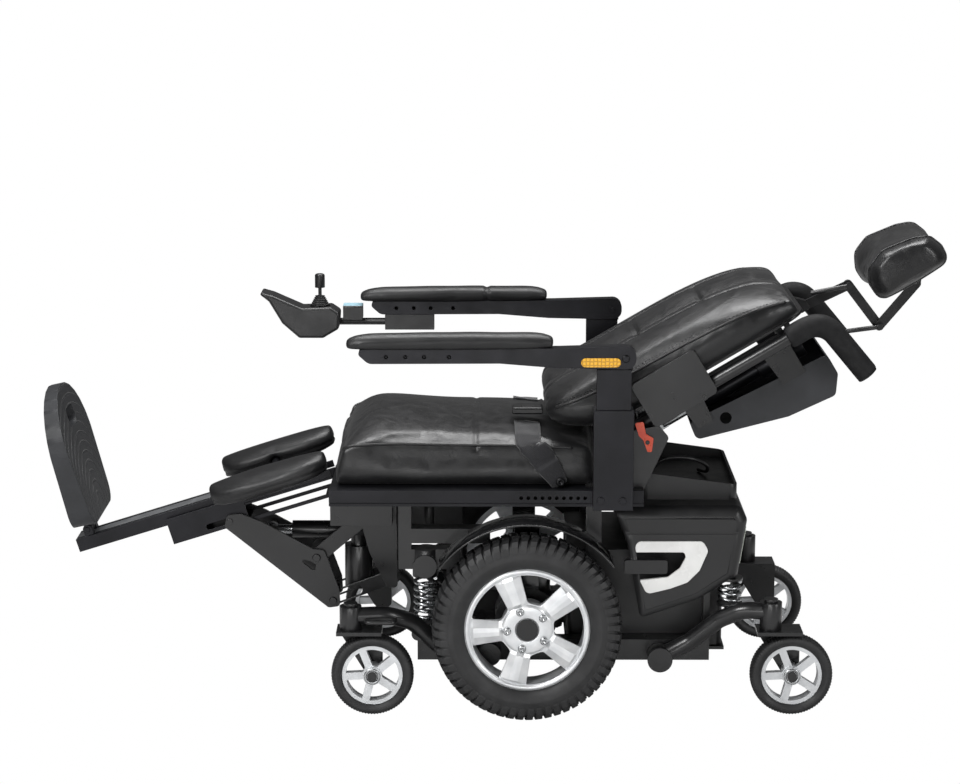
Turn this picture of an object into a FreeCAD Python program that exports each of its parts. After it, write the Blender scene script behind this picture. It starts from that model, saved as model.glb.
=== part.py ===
import FreeCAD, Part
import math
import os
from FreeCAD import Vector as V

# Power reclining wheelchair, back reclined and leg rest raised.
# Millimetres. +X points to the rear, -Y to the user's left, +Z up, and the floor is z = 0.
# Lengths along X are given from the drive axle and moved by AXLE_X when a piece is saved,
# so that the origin lies on the floor under the middle of the whole chair.
AXLE_X = 67.04

# Fits and clearances
RUN_FIT = 0.05
SEAT_GAP = 0.2
SIDE_GAP = 1.0
SOFT_GAP = 0.3
NEAR = 1e-3
CORNER_SHARE = 0.47

# Drive wheels
WHEEL_R = 176.0
WHEEL_Y = 270.0
TYRE_W = 76.0
RIM_R = 116.0
RIM_W = 50.0
RIM_WALL = 11.0
TYRE_SHOULDER = 8.0
TYRE_SEAT_SHARE = 0.68
TYRE_TREAD_SHARE = 0.82
SPOKES = 5
SPOKE_PHASE = 111.0
SPOKE_W = 38.0
SPOKE_T = 14.0
SPOKE_INSET = 4.0
SPOKE_ROUND_SHARE = 0.3
HUB_R = 47.0
HUB_CAP_R = 20.0
HUB_CAP_T = 5.0
NUT_CIRCLE_R = 37.0
NUT_R = 7.0
NUT_H = 7.0
AXLE_R = 12.5
AXLE_DEPTH = 40.0

# Casters
CASTER_R = 77.0
CASTER_W = 40.0
CASTER_RIM_R = 56.5
CASTER_RIM_WALL = 7.0
CASTER_RIM_HALF = 12.4
CASTER_SPOKE_W = 14.0
CASTER_SPOKE_T = 14.0
CASTER_HUB_R = 17.0
CASTER_AXLE_R = 5.0
CASTER_BOLT_R = 9.0
CASTER_BOLT_T = 4.0
CASTER_TRAIL = 40.0
FRONT_CASTER = (-287.5, 245.0)
REAR_CASTER = (493.4, 242.0)
FORK_GAP = 2.5
FORK_LEG_T = 9.0
FORK_LEG_W = 36.0
FORK_CROWN_T = 7.0
FORK_CROWN_W = 52.0
STEM_R = 8.0
STEM_CAP_R = 13.0
STEM_CAP_T = 6.0
HEAD_R = 20.5
FRONT_HEAD_H = 44.0
REAR_HEAD_H = 52.0

# Swing arms and suspension
ARM_R = 16.0
ARM_PIVOT_R = 22.0
ARM_Y = 204.0
ARM_PIN_R = 9.0
FRONT_ARM_PIVOT = (-70.0, 105.0)
REAR_ARM_PIVOT = (250.0, 97.0)
PIVOT_CAP_R = 23.5
PIVOT_CAP_T = 6.0
SPRING_WIRE = 6.5
SPRING_R = 19.0
SPRING_END_ROOM = 1.1
PERCH_R = 24.0
PERCH_T = 5.0
FRONT_SPRING = (-190.0, 172.0)
FRONT_SPRING_Z = (160.0, 246.0)
FRONT_SPRING_TURNS = 6
REAR_SPRING = (382.0, 184.0)
REAR_SPRING_Z = (199.0, 243.0)
REAR_SPRING_TURNS = 3
COIL_SAMPLES = 16
ARM_BEND = 60.0
# Tube stations from the head tube inwards: x, z, share of the way out from ARM_Y to the caster's y
FRONT_ARM_LINE = ((-214.0, 170.0, 0.35), (-152.0, 108.0, 0.0))
REAR_ARM_LINE = ((360.0, 174.0, 0.35), (306.0, 126.0, 0.0))
# Height of the tube over the head tube's foot, there and at its first bend
FRONT_ARM_RISE = 24.3
REAR_ARM_RISE = 32.3
FRONT_ARM_TOP = (-262.0, 25.3, 0.85)
REAR_ARM_TOP = (404.0, 34.3, 0.8)
ARM_SCREW = (-203.0, 146.0)
ARM_SCREW_R = 12.0
LOOP_R = 4.0
LOOP_LEN = 62.0
LOOP_REACH = 8.0
LOOP_RISE = 18.3
SHOCK_EYE_Z = 270.0
SHOCK_CAP_R = 22.0

# Power base
RAIL_Y = (150.0, 186.0)
RAIL_Z = (85.0, 125.0)
RAIL_X = (-205.0, 345.0)
FLOOR_PAN_X = (76.0, 376.0)
FLOOR_PAN_T = 6.0
PAN_Z = 101.0
BEAM_STRIP = 12.0
SHOCK_CAP_Y = 200.0
UPRIGHT_X = (-150.0, -124.0)
UPRIGHT_TOP = 300.0
FRONT_POST_X = (-240.0, -216.0)
FRONT_POST_Z = 262.0
FRONT_BEAM_Z = (312.0, 340.0)
FRONT_BEAM_END = -68.0
REAR_POST_X = (112.0, 140.0)
CROSS_R = 14.0
BATTERY_X = (78.0, 372.0)
BATTERY_Y = 145.0
BATTERY_TOP = 290.0
BATTERY_EDGE = 10.0
MOTOR_R = 50.0
MOTOR_Y = (34.0, 214.0)
GEARBOX_R = 58.0
GEARBOX_LEN = 62.0
MOTOR_FOOT_W = 70.0
GUARD_R = 200.0
GUARD_T = 3.0
GUARD_Y = (216.0, 296.0)
GUARD_ARC = (37.0, 145.0)
GUARD_TAB_W = 46.0

# Rear shroud and tray
SHROUD_Y = 214.0
SHROUD_WALL = 4.0
SHROUD_ROUND = 14.0
SHROUD_LINE = ((150.0, 388.0), (398.0, 388.0), (411.0, 362.0), (394.0, 250.0), (324.0, 203.0),
               (205.0, 162.0), (178.0, 317.0))
LEDGE_Z = 342.0
LEDGE_STEP = 5.0
SHROUD_EDGE = 22.0
# How far each corner of the inside outline lies from the outside one; the front and bottom stay open
SHROUD_INSET = ((-40.0, -4.0), (-7.0, -4.0), (-4.3, 0.0), (-4.0, 0.0), (-4.0, -12.0), (-4.0, -60.0),
                (-60.0, 0.0))
WINDOW_ROUND = 12.0
WINDOW_LINE = ((200.0, 324.0), (328.0, 324.0), (338.0, 306.0), (322.0, 268.0), (300.0, 245.0), (268.0, 233.0),
               (224.0, 222.0), (212.0, 246.0))
ACCENT_T = 3.0
# The opening inside the crescent, which runs out at its front
ACCENT_ROUND = 6.0
ACCENT_LINE = ((160.0, 303.0), (293.0, 303.0), (296.0, 293.0), (285.0, 272.0), (263.0, 255.0), (160.0, 243.0))
PLUG_X = (182.0, 262.0)
PLUG_Z = (262.0, 288.0)
PLUG_T = (12.0, 4.0)
PLUG_ROUND = 4.0
LIGHT_W = 9.0
LIGHT_Z = (272.0, 343.0)
LIGHT_Y = 178.0
LIGHT_X = (392.0, 400.0)
TRAY_X = (212.0, 396.0)
TRAY_Y = 150.0
TRAY_TOP = 440.0
TRAY_WALL = 5.0
TRAY_BACK = 416.0
TRAY_FLOOR = 14.0
TRAY_ROUND = 16.0

# Seat
SEAT_RAIL_X = (-366.0, 215.0)
SEAT_RAIL_Y = (210.0, 238.0)
SEAT_RAIL_Z = (396.0, 426.0)
SEAT_GROOVE = 2.5
RAIL_HOLES = 10
RAIL_HOLE_X = -11.0
RAIL_HOLE_PITCH = 13.1
RAIL_HOLE_Z = 412.0
RAIL_HOLE_R = 3.5
SEAT_CROSS_X = (-352.0, -90.0, 178.0)
SEAT_CROSS_W = 26.0
SEAT_PAN_X = (-352.0, 110.0)
SEAT_PAN_T = 4.0
CUSHION_BASE_Y = 196.0
CUSHION_BULGE = 8.0
CUSHION_SEAM_Y = 199.0
BOLSTER_SHARE = 0.55
# Cushion stations: x at the bottom, backward lean per unit height, seam height, crown height
CUSHION_STATIONS = ((-357.0, 0.20, 494.0, 512.0), (-322.0, 0.10, 505.0, 535.0),
                    (-215.0, 0.0, 507.0, 541.0), (-96.0, 0.0, 506.0, 532.0),
                    (10.0, 0.0, 504.0, 526.0), (92.0, 0.0, 500.0, 514.0))

# Lap belt
BELT_T = 2.5
BELT_W = 48.0
BELT_ANCHOR = 62.0
BELT_FLAP = 110.0
BELT_LEAN = 60.0
BELT_EDGE_Z = 511.0
BELT_END_Z = 537.0
BUCKLE_SIZE = (58.0, 50.0, 16.0)

# Recline bracket, hinge and release lever
HINGE = (200.0, 500.0)
HINGE_R = 9.0
HINGE_PIN_LEN = 24.0
BRACKET_Y = (204.0, 210.0)
BRACKET_LINE = ((140.0, 398.0), (206.0, 398.0), (262.0, 520.0), (243.0, 543.0), (178.0, 530.0),
                (140.0, 440.0))
LEVER_PIVOT = (222.0, 512.0)
LEVER_PIN_R = 4.0
LEVER_T = 4.0
LEVER_ROUND = 3.0
LEVER_LINE = ((198.0, 548.0), (214.0, 551.0), (219.0, 528.0), (233.0, 520.0), (230.0, 494.0),
              (222.0, 494.0), (214.0, 516.0), (206.0, 524.0))

# Armrests
ARM_CENTRE_Y = 263.0
BEAM_W = 28.0
BEAM_LINE = ((-318.0, 697.0), (-289.0, 671.0), (-51.0, 672.0), (49.0, 664.0), (196.0, 661.0),
             (196.0, 704.0), (58.0, 700.0))
BEAM_PIVOT = (177.0, 681.0)
BEAM_END_R = 18.0
BEAM_SLOT_ROOM = 3.0
BEAM_HOLE_X = (-257.0, -222.0, -188.0, -143.0)
BEAM_HOLE_Z = 684.0
BEAM_HOLE_R = 4.0
TONGUE_W = 9.0
TONGUE_R = 13.0
FLIP_PIN_R = 5.0
PAD_X = (-330.0, 46.0)
PAD_W = 48.0
PAD_H = 23.0
PAD_DRAW = 3.0
PAD_CROWN = 5.0
PAD_SEAM = 0.72
# Arm pad stations: share of the length, share of the full section
PAD_STATIONS = ((0.0, 0.58), (0.05, 0.85), (0.15, 0.98), (0.32, 1.0), (0.5, 1.0), (0.68, 1.0), (0.85, 0.99),
                (0.95, 0.9), (1.0, 0.66))
POST_X = (125.0, 188.0)
POST_W = 20.0
POST_Z = (492.0, 660.0)
SLEEVE_X = (120.0, 193.0)
SLEEVE_Z = (398.0, 585.0)
SLEEVE_WALL = 4.0
SLIDE_GAP = 0.3
SLEEVE_BOLT_X = (134.0, 174.0)
SLEEVE_BOLT_Z = 417.0
BOLT_HEAD_R = 6.5
BOLT_HEAD_H = 4.0

# Joystick, on the right armrest
CLAMP_X = (-280.0, -181.0)
CLAMP_Z = 640.0
CLAMP_ARM_R = 7.0
CLAMP_ARM_Z = 655.0
BOX_X = (-364.0, -325.0)
BOX_Z = 690.0
BOX_W = 40.0
POD_LINE = ((-541.0, 722.0), (-512.0, 699.0), (-486.0, 655.0), (-452.0, 625.0), (-404.0, 625.0),
            (-372.0, 644.0), (-370.0, 676.0), (-388.0, 688.0), (-446.0, 686.0), (-505.0, 712.0))
POD_W = 62.0
POD_ROUND = 9.0
POD_EDGE = 6.0
STICK_X = -411.0
STICK_PIVOT_Z = 690.0
WELL_R = 21.0
WELL_DEPTH = 9.0
BOOT_R = (17.0, 14.0)
BOOT_H = 15.0
BOOT_RIBS = 3
BOOT_FOLD = 0.84
BOOT_FLARE = 0.3
STICK_R = 3.5
STICK_BALL_R = 5.0
KNOB_R = 10.0
KNOB_H = 28.0
KNOB_ROUND = 4.5
STICK_TOP = 752.0

# Reclined back: a runs along the canes, n square to them, from BACK_ORIGIN
BACK_ORIGIN = (227.0, 551.0)
BACK_ANGLE = 31.0
CANE_Y = 188.0
CANE_R = 12.5
CANE_START = -32.0
CANE_CORNER = 366.0
CANE_BEND = 46.0
GRIP_R = 20.0
GRIP_START = 296.0
GRIP_TIP = (386.5, -135.0)
GRIP_END_T = 8.0
CANE_CROSS_A = (-22.0, 287.0)
CANE_CROSS_R = 8.0
HINGE_EAR_T = 12.0
HINGE_EAR_R = 18.0
HINGE_EAR_A = 16.0
HINGE_EAR_HALF = 11.2
HANGER_PLATE_T = 4.0
SHELL_N = (20.0, 25.0)
SHELL_A = (-52.0, 345.0)
SHELL_Y = 168.0
SHELL_ROUND = 40.0
CARRIAGE_A = (34.0, 100.0)
CARRIAGE_LEN = 24.0
CARRIAGE_R = 17.5
CHANNEL_A = (2.0, 136.0)
CHANNEL_N = (-15.0, 78.0)
CHANNEL_Y = (211.5, 217.0)
CHANNEL_ROUND = 10.0
# Back cushion stations: a, low edge n, side seam n, bolster crown n, channel n, half width
BACK_STATIONS = ((-164.0, 88.0, 108.0, 120.0, 116.0, 160.0), (-140.0, 66.0, 108.0, 126.0, 116.0, 186.0),
                 (-90.0, 36.0, 102.0, 127.0, 110.0, 198.0), (0.0, 25.3, 96.0, 125.0, 105.0, 200.0),
                 (130.0, 25.3, 92.0, 123.0, 102.0, 201.0), (260.0, 25.3, 79.0, 107.0, 90.0, 196.0),
                 (338.0, 25.3, 56.0, 78.0, 68.0, 172.0))
BACK_BULGE = 4.0
BACK_UNDER = 30.0
COVER_LINE = ((57.0, -56.0), (52.0, -92.0), (222.0, -142.0), (318.0, -152.0), (342.0, -118.0), (342.0, -76.0))
COVER_Y = 132.0
COVER_ROUND = 12.0
COVER_WALL = 3.0
COVER_HOLE_R = 11.0
COVER_HOLE = (120.0, -84.0)
HANGER_PLATE = ((-30.0, 7.0), (292.0, 7.0), (292.0, -84.0), (244.0, -84.0), (236.0, -8.0), (104.0, -8.0),
                (98.0, -76.0), (66.0, -76.0), (58.0, -8.0), (-30.0, -8.0))
ACTUATOR_N = -50.0
ACTUATOR_Y = -60.0
ACT_BODY_A = (96.0, 312.0)
ACT_TUBE_R = 15.0
ACT_MOTOR_R = 22.0
ACT_MOTOR_LEN = 96.0
ACT_ROD_R = 8.0
ACT_ROD_A = (8.0, 296.0)
ACT_LUG_T = 12.0

# Headrest linkage and pad
STEM_BASE = (529.0, 731.0)
HEAD_KNEE = (614.0, 772.0)
HEAD_ELBOW = (675.0, 693.0)
HEAD_TOP = (743.0, 775.0)
LINK_W = 18.0
LINK_T = 6.0
LINK_PIN_R = 6.0
LUG_LEN = 22.0
LOCK_KNEE = (542.0, 758.0)
LOCK_ELBOW = (601.0, 683.0)
LOCK_R = 4.5
PAD_CENTRE = (704.5, 828.7)
PAD_TILT = 31.2
# Headrest section, along and square to its tilt
HEADREST_LINE = ((-71.0, -38.0), (-73.0, -3.0), (-60.0, 28.0), (-26.0, 41.0), (32.0, 32.0), (62.0, 22.0),
                 (73.0, -7.0), (71.0, -38.0))
HEADREST_ROUND = 16.0
# Headrest stations: y, size, hollow of the face
HEADREST_STATIONS = ((-124.0, 0.74, 0.0), (-106.0, 0.97, 1.0), (0.0, 1.0, 10.0), (106.0, 0.97, 1.0),
                     (124.0, 0.74, 0.0))
PAD_STUD_R = 9.0
PAD_STUD = (748.0, 830.0)

# Leg rest: l runs up along the leg rest towards the knee, n square to it, from KNEE
KNEE = (-366.0, 422.0)
LEG_ANGLE = 17.3
LEG_PIVOT = (-403.0, 247.0)
LINK_PIN = (-372.0, 161.0)
LINK_ROOT = (-255.0, 205.0)
HANGER_L = (-343.0, -10.0)
STAY_END = -26.0
HANGER_BOX_L = -188.0
HANGER_N = (-51.0, 0.0)
HANGER_Y = 44.0
HANGER_WALL = 4.0
TRACK_H = 13.0
STAY_H = 7.0
SLOT_L = (-267.0, -224.0)
SLOT_N = -38.0
SLOT_R = 5.5
LEG_PLATE_Y = (45.0, 51.0)
LEG_PLATE_LINE = ((-580.0, 308.0), (-574.0, 331.0), (-548.0, 334.0), (-508.0, 318.0), (-409.0, 264.0),
                  (-388.0, 262.0), (-360.0, 184.0), (-358.0, 150.0), (-381.0, 147.0))
LEG_PIN_R = 7.0
LEG_ROUND = 8.0
WINDOW_POINTS = ((-444.0, 249.0), (-404.0, 236.0), (-406.0, 218.0))
FOOT_RAIL_L = (-524.0, -150.0)
FOOT_RAIL_N = (-14.0, 12.0)
FOOT_RAIL_Y = 34.0
FOOT_RAIL_GROOVE = 3.0
FOOT_RAIL_GROOVE_Y = 20.0
FOOT_HINGE = (-496.0, 24.0)
FOOT_HINGE_R = 9.0
FOOT_PIN_R = 5.0
FOOT_KNUCKLE_Y = 32.0
FOOT_LUG_Y = 12.0
FOOT_N = (30.0, 308.0)
FOOT_LEAN = 4.8
FOOT_LIFT = 14.0
FOOT_BASE_T = 44.0
FOOT_TOE_T = 25.0
FOOT_HALF = 140.0
FOOT_HEEL_HALF = 118.0
FOOT_ROUND = 40.0
FOOT_ARCH = 112.0
FOOT_ARCH_STEPS = 12
FOOT_GRIP = (72.0, 38.0)
FOOT_GRIP_N = 244.0
FOOT_GRIP_ROUND = 15.0
FOOT_SET = 12.0
CALF_L = (-230.0, -2.0)
CALF_Y = (62.0, 168.0)
CALF_N = (14.0, 56.0)
CALF_END_T = 0.75
CALF_DRAW = 7.0
CALF_BAR_R = 8.0
CALF_BAR = (-120.0, 24.0)
CALF_LUG_W = 26.0
# Calf pad stations: share of the length, share of the full section
CALF_STATIONS = ((0.0, 0.4), (0.08, 0.76), (0.3, 1.0), (0.7, 1.0), (0.92, 0.76), (1.0, 0.4))
CALF_RISE = 8.0
CALF_REACH = 30.0
LEG_ACT_ROOT = (-290.0, 291.0)
LEG_ACT_EYE = (-492.0, 291.0)
LEG_ACT_R = 17.0
LEG_ROD_R = 9.0
LEG_BODY_END = -452.0
LEG_EYE_R = 14.0
LEG_EYE_Y = 8.0
EYE_ROOM = 3.0
LEG_LUG_Y = (14.0, 20.0)
BLOCK_X = (-373.0, -255.0)
BLOCK_Z = (322.0, 396.0)
BLOCK_Y = 96.0
BLOCK_WALL = 6.0
DOWN_PLATE = ((-316.0, 322.0), (-248.0, 322.0), (-246.0, 192.0), (-266.0, 192.0), (-300.0, 262.0))
DOWN_Y = (62.0, 68.0)
ARM_PLATE_W = 30.0
ARM_PLATE_Y = (37.0, 43.0)
ARM_ROOT = (-300.0, 334.0)
LEG_LINK_Y = (28.0, 34.0)
LEG_LINK_W = 28.0
LINK_ROOM = 4.0
LINK_SLOT = 48.0
CAN_R = 27.0
CAN_Z = (178.0, 262.0)
CAN_NECK_R = 15.0

SIDES = (("left", -1.0), ("right", 1.0))
SOLIDS = {}


def box(x, y, z):
    return Part.makeBox(x[1] - x[0], y[1] - y[0], z[1] - z[0], V(x[0], y[0], z[0]))


def rod(start, end, radius):
    start = V(*start)
    run = V(*end) - start
    return Part.makeCylinder(radius, run.Length, start, run)


def pin(point, y, radius):
    return rod((point[0], y[0], point[1]), (point[0], y[1], point[1]), radius)


def mirror(shape):
    return shape.mirror(V(0, 0, 0), V(0, 1, 0))


def sided(shape, side):
    return mirror(shape) if side < 0 else shape


def pair(shape):
    return [mirror(shape), shape]


def fuse(shapes):
    whole = shapes[0].multiFuse(shapes[1:]) if len(shapes) > 1 else shapes[0]
    return whole.removeSplitter()


def edges_along(shape, axis):
    return [e for e in shape.Edges if abs(e.tangentAt(e.FirstParameter).dot(axis)) > 1 - NEAR]


def cut(shape, tools):
    return shape.cut(tools[0] if len(tools) == 1 else Part.makeCompound(tools))


# A closed outline in the XZ plane with every corner rounded to the radius or to what its sides allow
def outline(points, y, radius):
    corners = [V(p[0], y, p[1]) for p in points]
    count = len(corners)
    edges = []
    bends = []
    for i, corner in enumerate(corners):
        to_last = corners[i - 1] - corner
        to_next = corners[(i + 1) % count] - corner
        half = to_last.getAngle(to_next) / 2
        reach = min(radius / math.tan(half), CORNER_SHARE * min(to_last.Length, to_next.Length))
        to_last.normalize()
        to_next.normalize()
        middle = to_last + to_next
        middle.normalize()
        real = reach * math.tan(half)
        centre = corner + middle * (real / math.sin(half))
        bends.append((corner + to_last * reach, centre - middle * real, corner + to_next * reach))
    for i, bend in enumerate(bends):
        if radius > 0:
            edges.append(Part.Arc(*bend).toShape())
        edges.append(Part.LineSegment(bend[2], bends[(i + 1) % count][0]).toShape())
    return Part.Wire(edges)


def plate(points, y, radius=0.0):
    return Part.Face(outline(points, y[0], radius)).extrude(V(0, y[1] - y[0], 0))


# A path of straight runs joined by tangent arcs
def path(points, radius):
    points = [V(*p) for p in points]
    edges = []
    start = points[0]
    for i in range(1, len(points) - 1):
        back = points[i - 1] - points[i]
        ahead = points[i + 1] - points[i]
        half = back.getAngle(ahead) / 2
        reach = min(radius / math.tan(half), CORNER_SHARE * min(back.Length, ahead.Length))
        real = reach * math.tan(half)
        back.normalize()
        ahead.normalize()
        middle = back + ahead
        middle.normalize()
        bend_start = points[i] + back * reach
        bend_end = points[i] + ahead * reach
        bend_mid = points[i] + middle * (real / math.sin(half) - real)
        edges.append(Part.LineSegment(start, bend_start).toShape())
        edges.append(Part.Arc(bend_start, bend_mid, bend_end).toShape())
        start = bend_end
    edges.append(Part.LineSegment(start, points[-1]).toShape())
    return Part.Wire(edges)


def tube(points, radius, bend):
    line = path(points, bend)
    start = V(*points[0])
    heading = V(*points[1]) - start
    ring = Part.Wire(Part.makeCircle(radius, start, heading))
    return line.makePipeShell([ring], True, False)


# A solid turned about the Y axis of a wheel from a half section of (radius, y) points and arcs
def turned(edges, centre):
    face = Part.Face(Part.Wire(edges))
    shape = face.revolve(V(0, 0, 0), V(0, 1, 0), 360)
    shape.translate(V(centre[0], 0, centre[1]))
    return shape


def line2(a, b):
    return Part.LineSegment(V(a[0], a[1], 0), V(b[0], b[1], 0)).toShape()


def arc2(a, b, c):
    return Part.Arc(V(a[0], a[1], 0), V(b[0], b[1], 0), V(c[0], c[1], 0)).toShape()


def save(name, solids):
    solids = solids if isinstance(solids, list) else [solids]
    single = []
    for shape in solids:
        single.extend(shape.Solids)
    for shape in single:
        if not shape.isValid():
            print("not valid:", name)
    whole = Part.makeCompound(single) if len(single) > 1 else single[0]
    whole = whole.copy()
    whole.translate(V(AXLE_X, 0, 0))
    SOLIDS[name] = whole


# Wheels
def tyre(outer, inner, width, shoulder, centre):
    half = width / 2
    seat = half * TYRE_SEAT_SHARE
    edge = outer - shoulder
    tread = half * TYRE_TREAD_SHARE
    wall = (inner + edge) / 2
    edges = [
        arc2((inner, -seat), (wall, -half), (edge, -tread)),
        arc2((edge, -tread), (outer, 0), (edge, tread)),
        arc2((edge, tread), (wall, half), (inner, seat)),
        line2((inner, seat), (inner, -seat)),
    ]
    return turned(edges, centre)


# Spoked disc in the XZ plane between the hub and the barrel, with rounded windows
def spokes(count, phase, width, hub, reach, y):
    disc = pin((0, 0), y, reach)
    windows = []
    step = 360.0 / count
    for i in range(count):
        middle = math.radians(phase + step * (i + 0.5))
        spread = math.radians(step / 2)
        side = width / 2
        tip = side / math.sin(spread)
        near = max(hub, tip + 1)
        points = []
        for turn in (-1, 1):
            edge = middle + turn * spread
            shift = math.radians(90) * -turn
            for radius in ((near, reach + width) if turn < 0 else (reach + width, near)):
                x = radius * math.cos(edge) + side * math.cos(edge + shift)
                z = radius * math.sin(edge) + side * math.sin(edge + shift)
                points.append((x, z))
        blank = plate(points, (y[0] - 1, y[1] + 1), width * SPOKE_ROUND_SHARE)
        ring = pin((0, 0), (y[0] - 2, y[1] + 2), reach).cut(pin((0, 0), (y[0] - 2, y[1] + 2), hub))
        windows.append(blank.common(ring))
    return cut(disc, windows)


def drive_wheel(name, side):
    y_out = WHEEL_Y + RIM_W / 2
    y_in = WHEEL_Y - RIM_W / 2
    barrel_r = RIM_R - SEAT_GAP
    bore_r = barrel_r - RIM_WALL
    barrel = pin((0, 0), (y_in, y_out), barrel_r).cut(pin((0, 0), (y_in - 1, y_out + 1), bore_r))
    face_y = y_out - SPOKE_INSET
    disc = spokes(SPOKES, SPOKE_PHASE, SPOKE_W, HUB_R, bore_r + 1, (face_y - SPOKE_T, face_y))
    hub = pin((0, 0), (y_in, face_y), HUB_R)
    axle = pin((0, 0), (MOTOR_Y[1] - AXLE_DEPTH, y_in + 1), AXLE_R)
    rim = fuse([barrel, disc, hub, axle])
    solids = [rim, pin((0, 0), (face_y, face_y + HUB_CAP_T), HUB_CAP_R)]
    for i in range(SPOKES):
        angle = math.radians(SPOKE_PHASE + 360.0 / SPOKES * i)
        place = (NUT_CIRCLE_R * math.cos(angle), NUT_CIRCLE_R * math.sin(angle))
        solids.append(pin(place, (face_y, face_y + NUT_H), NUT_R))
    placed = []
    for solid in solids:
        solid.translate(V(0, 0, WHEEL_R))
        placed.append(sided(solid, side))
    save("drive_rim_" + name, placed)
    rubber = tyre(WHEEL_R, RIM_R, TYRE_W, TYRE_SHOULDER, (0, WHEEL_R))
    rubber.translate(V(0, WHEEL_Y, 0))
    save("drive_tyre_" + name, sided(rubber, side))


# A one-sided fork with its stem, and the wheel on its stub axle
def caster(end, name, place, head_h, side):
    x, y = place
    half = CASTER_W / 2
    leg_out = y - half - FORK_GAP
    leg_in = leg_out - FORK_LEG_T
    crown_z = CASTER_R * 2 + FORK_GAP
    crown_top = crown_z + FORK_CROWN_T
    stem_x = x - CASTER_TRAIL
    front = stem_x - FORK_CROWN_W / 2
    crown = box((front, x + FORK_LEG_W / 2), (leg_in, y + FORK_CROWN_W / 2), (crown_z, crown_top))
    leg_x = (x - FORK_LEG_W / 2, x + FORK_LEG_W / 2)
    leg_line = ((leg_x[0], CASTER_R), (x, CASTER_R - FORK_LEG_W / 2), (leg_x[1], CASTER_R),
                (leg_x[1], crown_top), (front, crown_top), (front, crown_z))
    leg = plate(leg_line, (leg_in, leg_out), FORK_LEG_W / 4)
    axle = pin((x, CASTER_R), (leg_out - 1, y + half + CASTER_BOLT_T), CASTER_AXLE_R)
    bolt = pin((x, CASTER_R), (y + half + SEAT_GAP, y + half + CASTER_BOLT_T), CASTER_BOLT_R)
    stem = rod((stem_x, y, crown_top - 1), (stem_x, y, crown_top + SEAT_GAP * 2 + head_h), STEM_R)
    cap_z = crown_top + SEAT_GAP * 2 + head_h
    cap = rod((stem_x, y, cap_z), (stem_x, y, cap_z + STEM_CAP_T), STEM_CAP_R)
    save(end + "_fork_" + name, sided(fuse([crown, leg, axle, bolt, stem, cap]), side))
    ring_r = CASTER_RIM_R - SEAT_GAP
    bore_r = ring_r - CASTER_RIM_WALL
    disc_y = CASTER_RIM_HALF
    ring = pin((0, 0), (-disc_y, disc_y), ring_r).cut(pin((0, 0), (-half, half), bore_r))
    disc = spokes(SPOKES, SPOKE_PHASE, CASTER_SPOKE_W, CASTER_HUB_R, bore_r + 1,
                  (disc_y - CASTER_SPOKE_T, disc_y))
    hub = pin((0, 0), (-half, half), CASTER_HUB_R)
    rim = fuse([ring, disc, hub]).cut(pin((0, 0), (-half - 1, half + 1), CASTER_AXLE_R + RUN_FIT))
    rim.translate(V(x, y, CASTER_R))
    rubber = tyre(CASTER_R, CASTER_RIM_R, CASTER_W, TYRE_SHOULDER / 2, (x, CASTER_R))
    rubber.translate(V(0, y, 0))
    save(end + "_caster_" + name, [sided(rim, side), sided(rubber, side)])


# Swing arms: a bent tube from the pivot boss to the head tube, with the spring perch
def head_tube(place, head_h):
    x = place[0] - CASTER_TRAIL
    z = CASTER_R * 2 + FORK_GAP + FORK_CROWN_T + SEAT_GAP
    return x, (z, z + head_h)


def swing_arm(end, name, side):
    front = end == "front"
    place = FRONT_CASTER if front else REAR_CASTER
    pivot = FRONT_ARM_PIVOT if front else REAR_ARM_PIVOT
    spring = FRONT_SPRING if front else REAR_SPRING
    spring_z = FRONT_SPRING_Z if front else REAR_SPRING_Z
    x, z = head_tube(place, FRONT_HEAD_H if front else REAR_HEAD_H)
    y = place[1]
    head = rod((x, y, z[0]), (x, y, z[1]), HEAD_R)
    bore = rod((x, y, z[0] - 1), (x, y, z[1] + 1), STEM_R + RUN_FIT)
    rise = FRONT_ARM_RISE if front else REAR_ARM_RISE
    top = FRONT_ARM_TOP if front else REAR_ARM_TOP
    bends = [(top[0], z[0] + top[1], top[2])]
    bends += FRONT_ARM_LINE if front else REAR_ARM_LINE
    points = [(x, y, z[0] + rise)]
    points += [(px, ARM_Y + (y - ARM_Y) * share, pz) for px, pz, share in bends]
    points.append((pivot[0], ARM_Y, pivot[1]))
    bar = tube(points, ARM_R, ARM_BEND)
    boss = pin(pivot, widen((ARM_Y - ARM_R, ARM_Y + ARM_R), SIDE_GAP), ARM_PIVOT_R)
    perch_top = spring_z[0]
    perch = rod((spring[0], spring[1], perch_top - PERCH_T), (spring[0], spring[1], perch_top), PERCH_R)
    bracket = box((spring[0] - PERCH_T * 2, spring[0] + PERCH_T * 2), (spring[1], ARM_Y),
                  (perch_top - PERCH_T * 3, perch_top))
    pieces = [head, bar, boss, perch, bracket]
    if front:
        loop_x = (x + HEAD_R + LOOP_R * 2, x + HEAD_R + LOOP_LEN)
        loop_y = y + ARM_R + LOOP_REACH
        loop_z = z[0] + LOOP_RISE
        start = (loop_x[0], y, loop_z)
        finish = (loop_x[1], y - ARM_R / 2, loop_z)
        loop = [start, (loop_x[0], loop_y, loop_z), (loop_x[1], loop_y, loop_z), finish]
        pieces.append(tube(loop, LOOP_R, LOOP_R * 2))
        pieces.append(pin(ARM_SCREW, (ARM_Y, ARM_Y + ARM_R + BOLT_HEAD_H), ARM_SCREW_R))
    tools = [bore, pin(pivot, (0, ARM_Y + ARM_PIVOT_R), ARM_PIN_R + RUN_FIT)]
    whole = cut(fuse(pieces), tools)
    save(end + "_arm_" + name, sided(whole, side))


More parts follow.
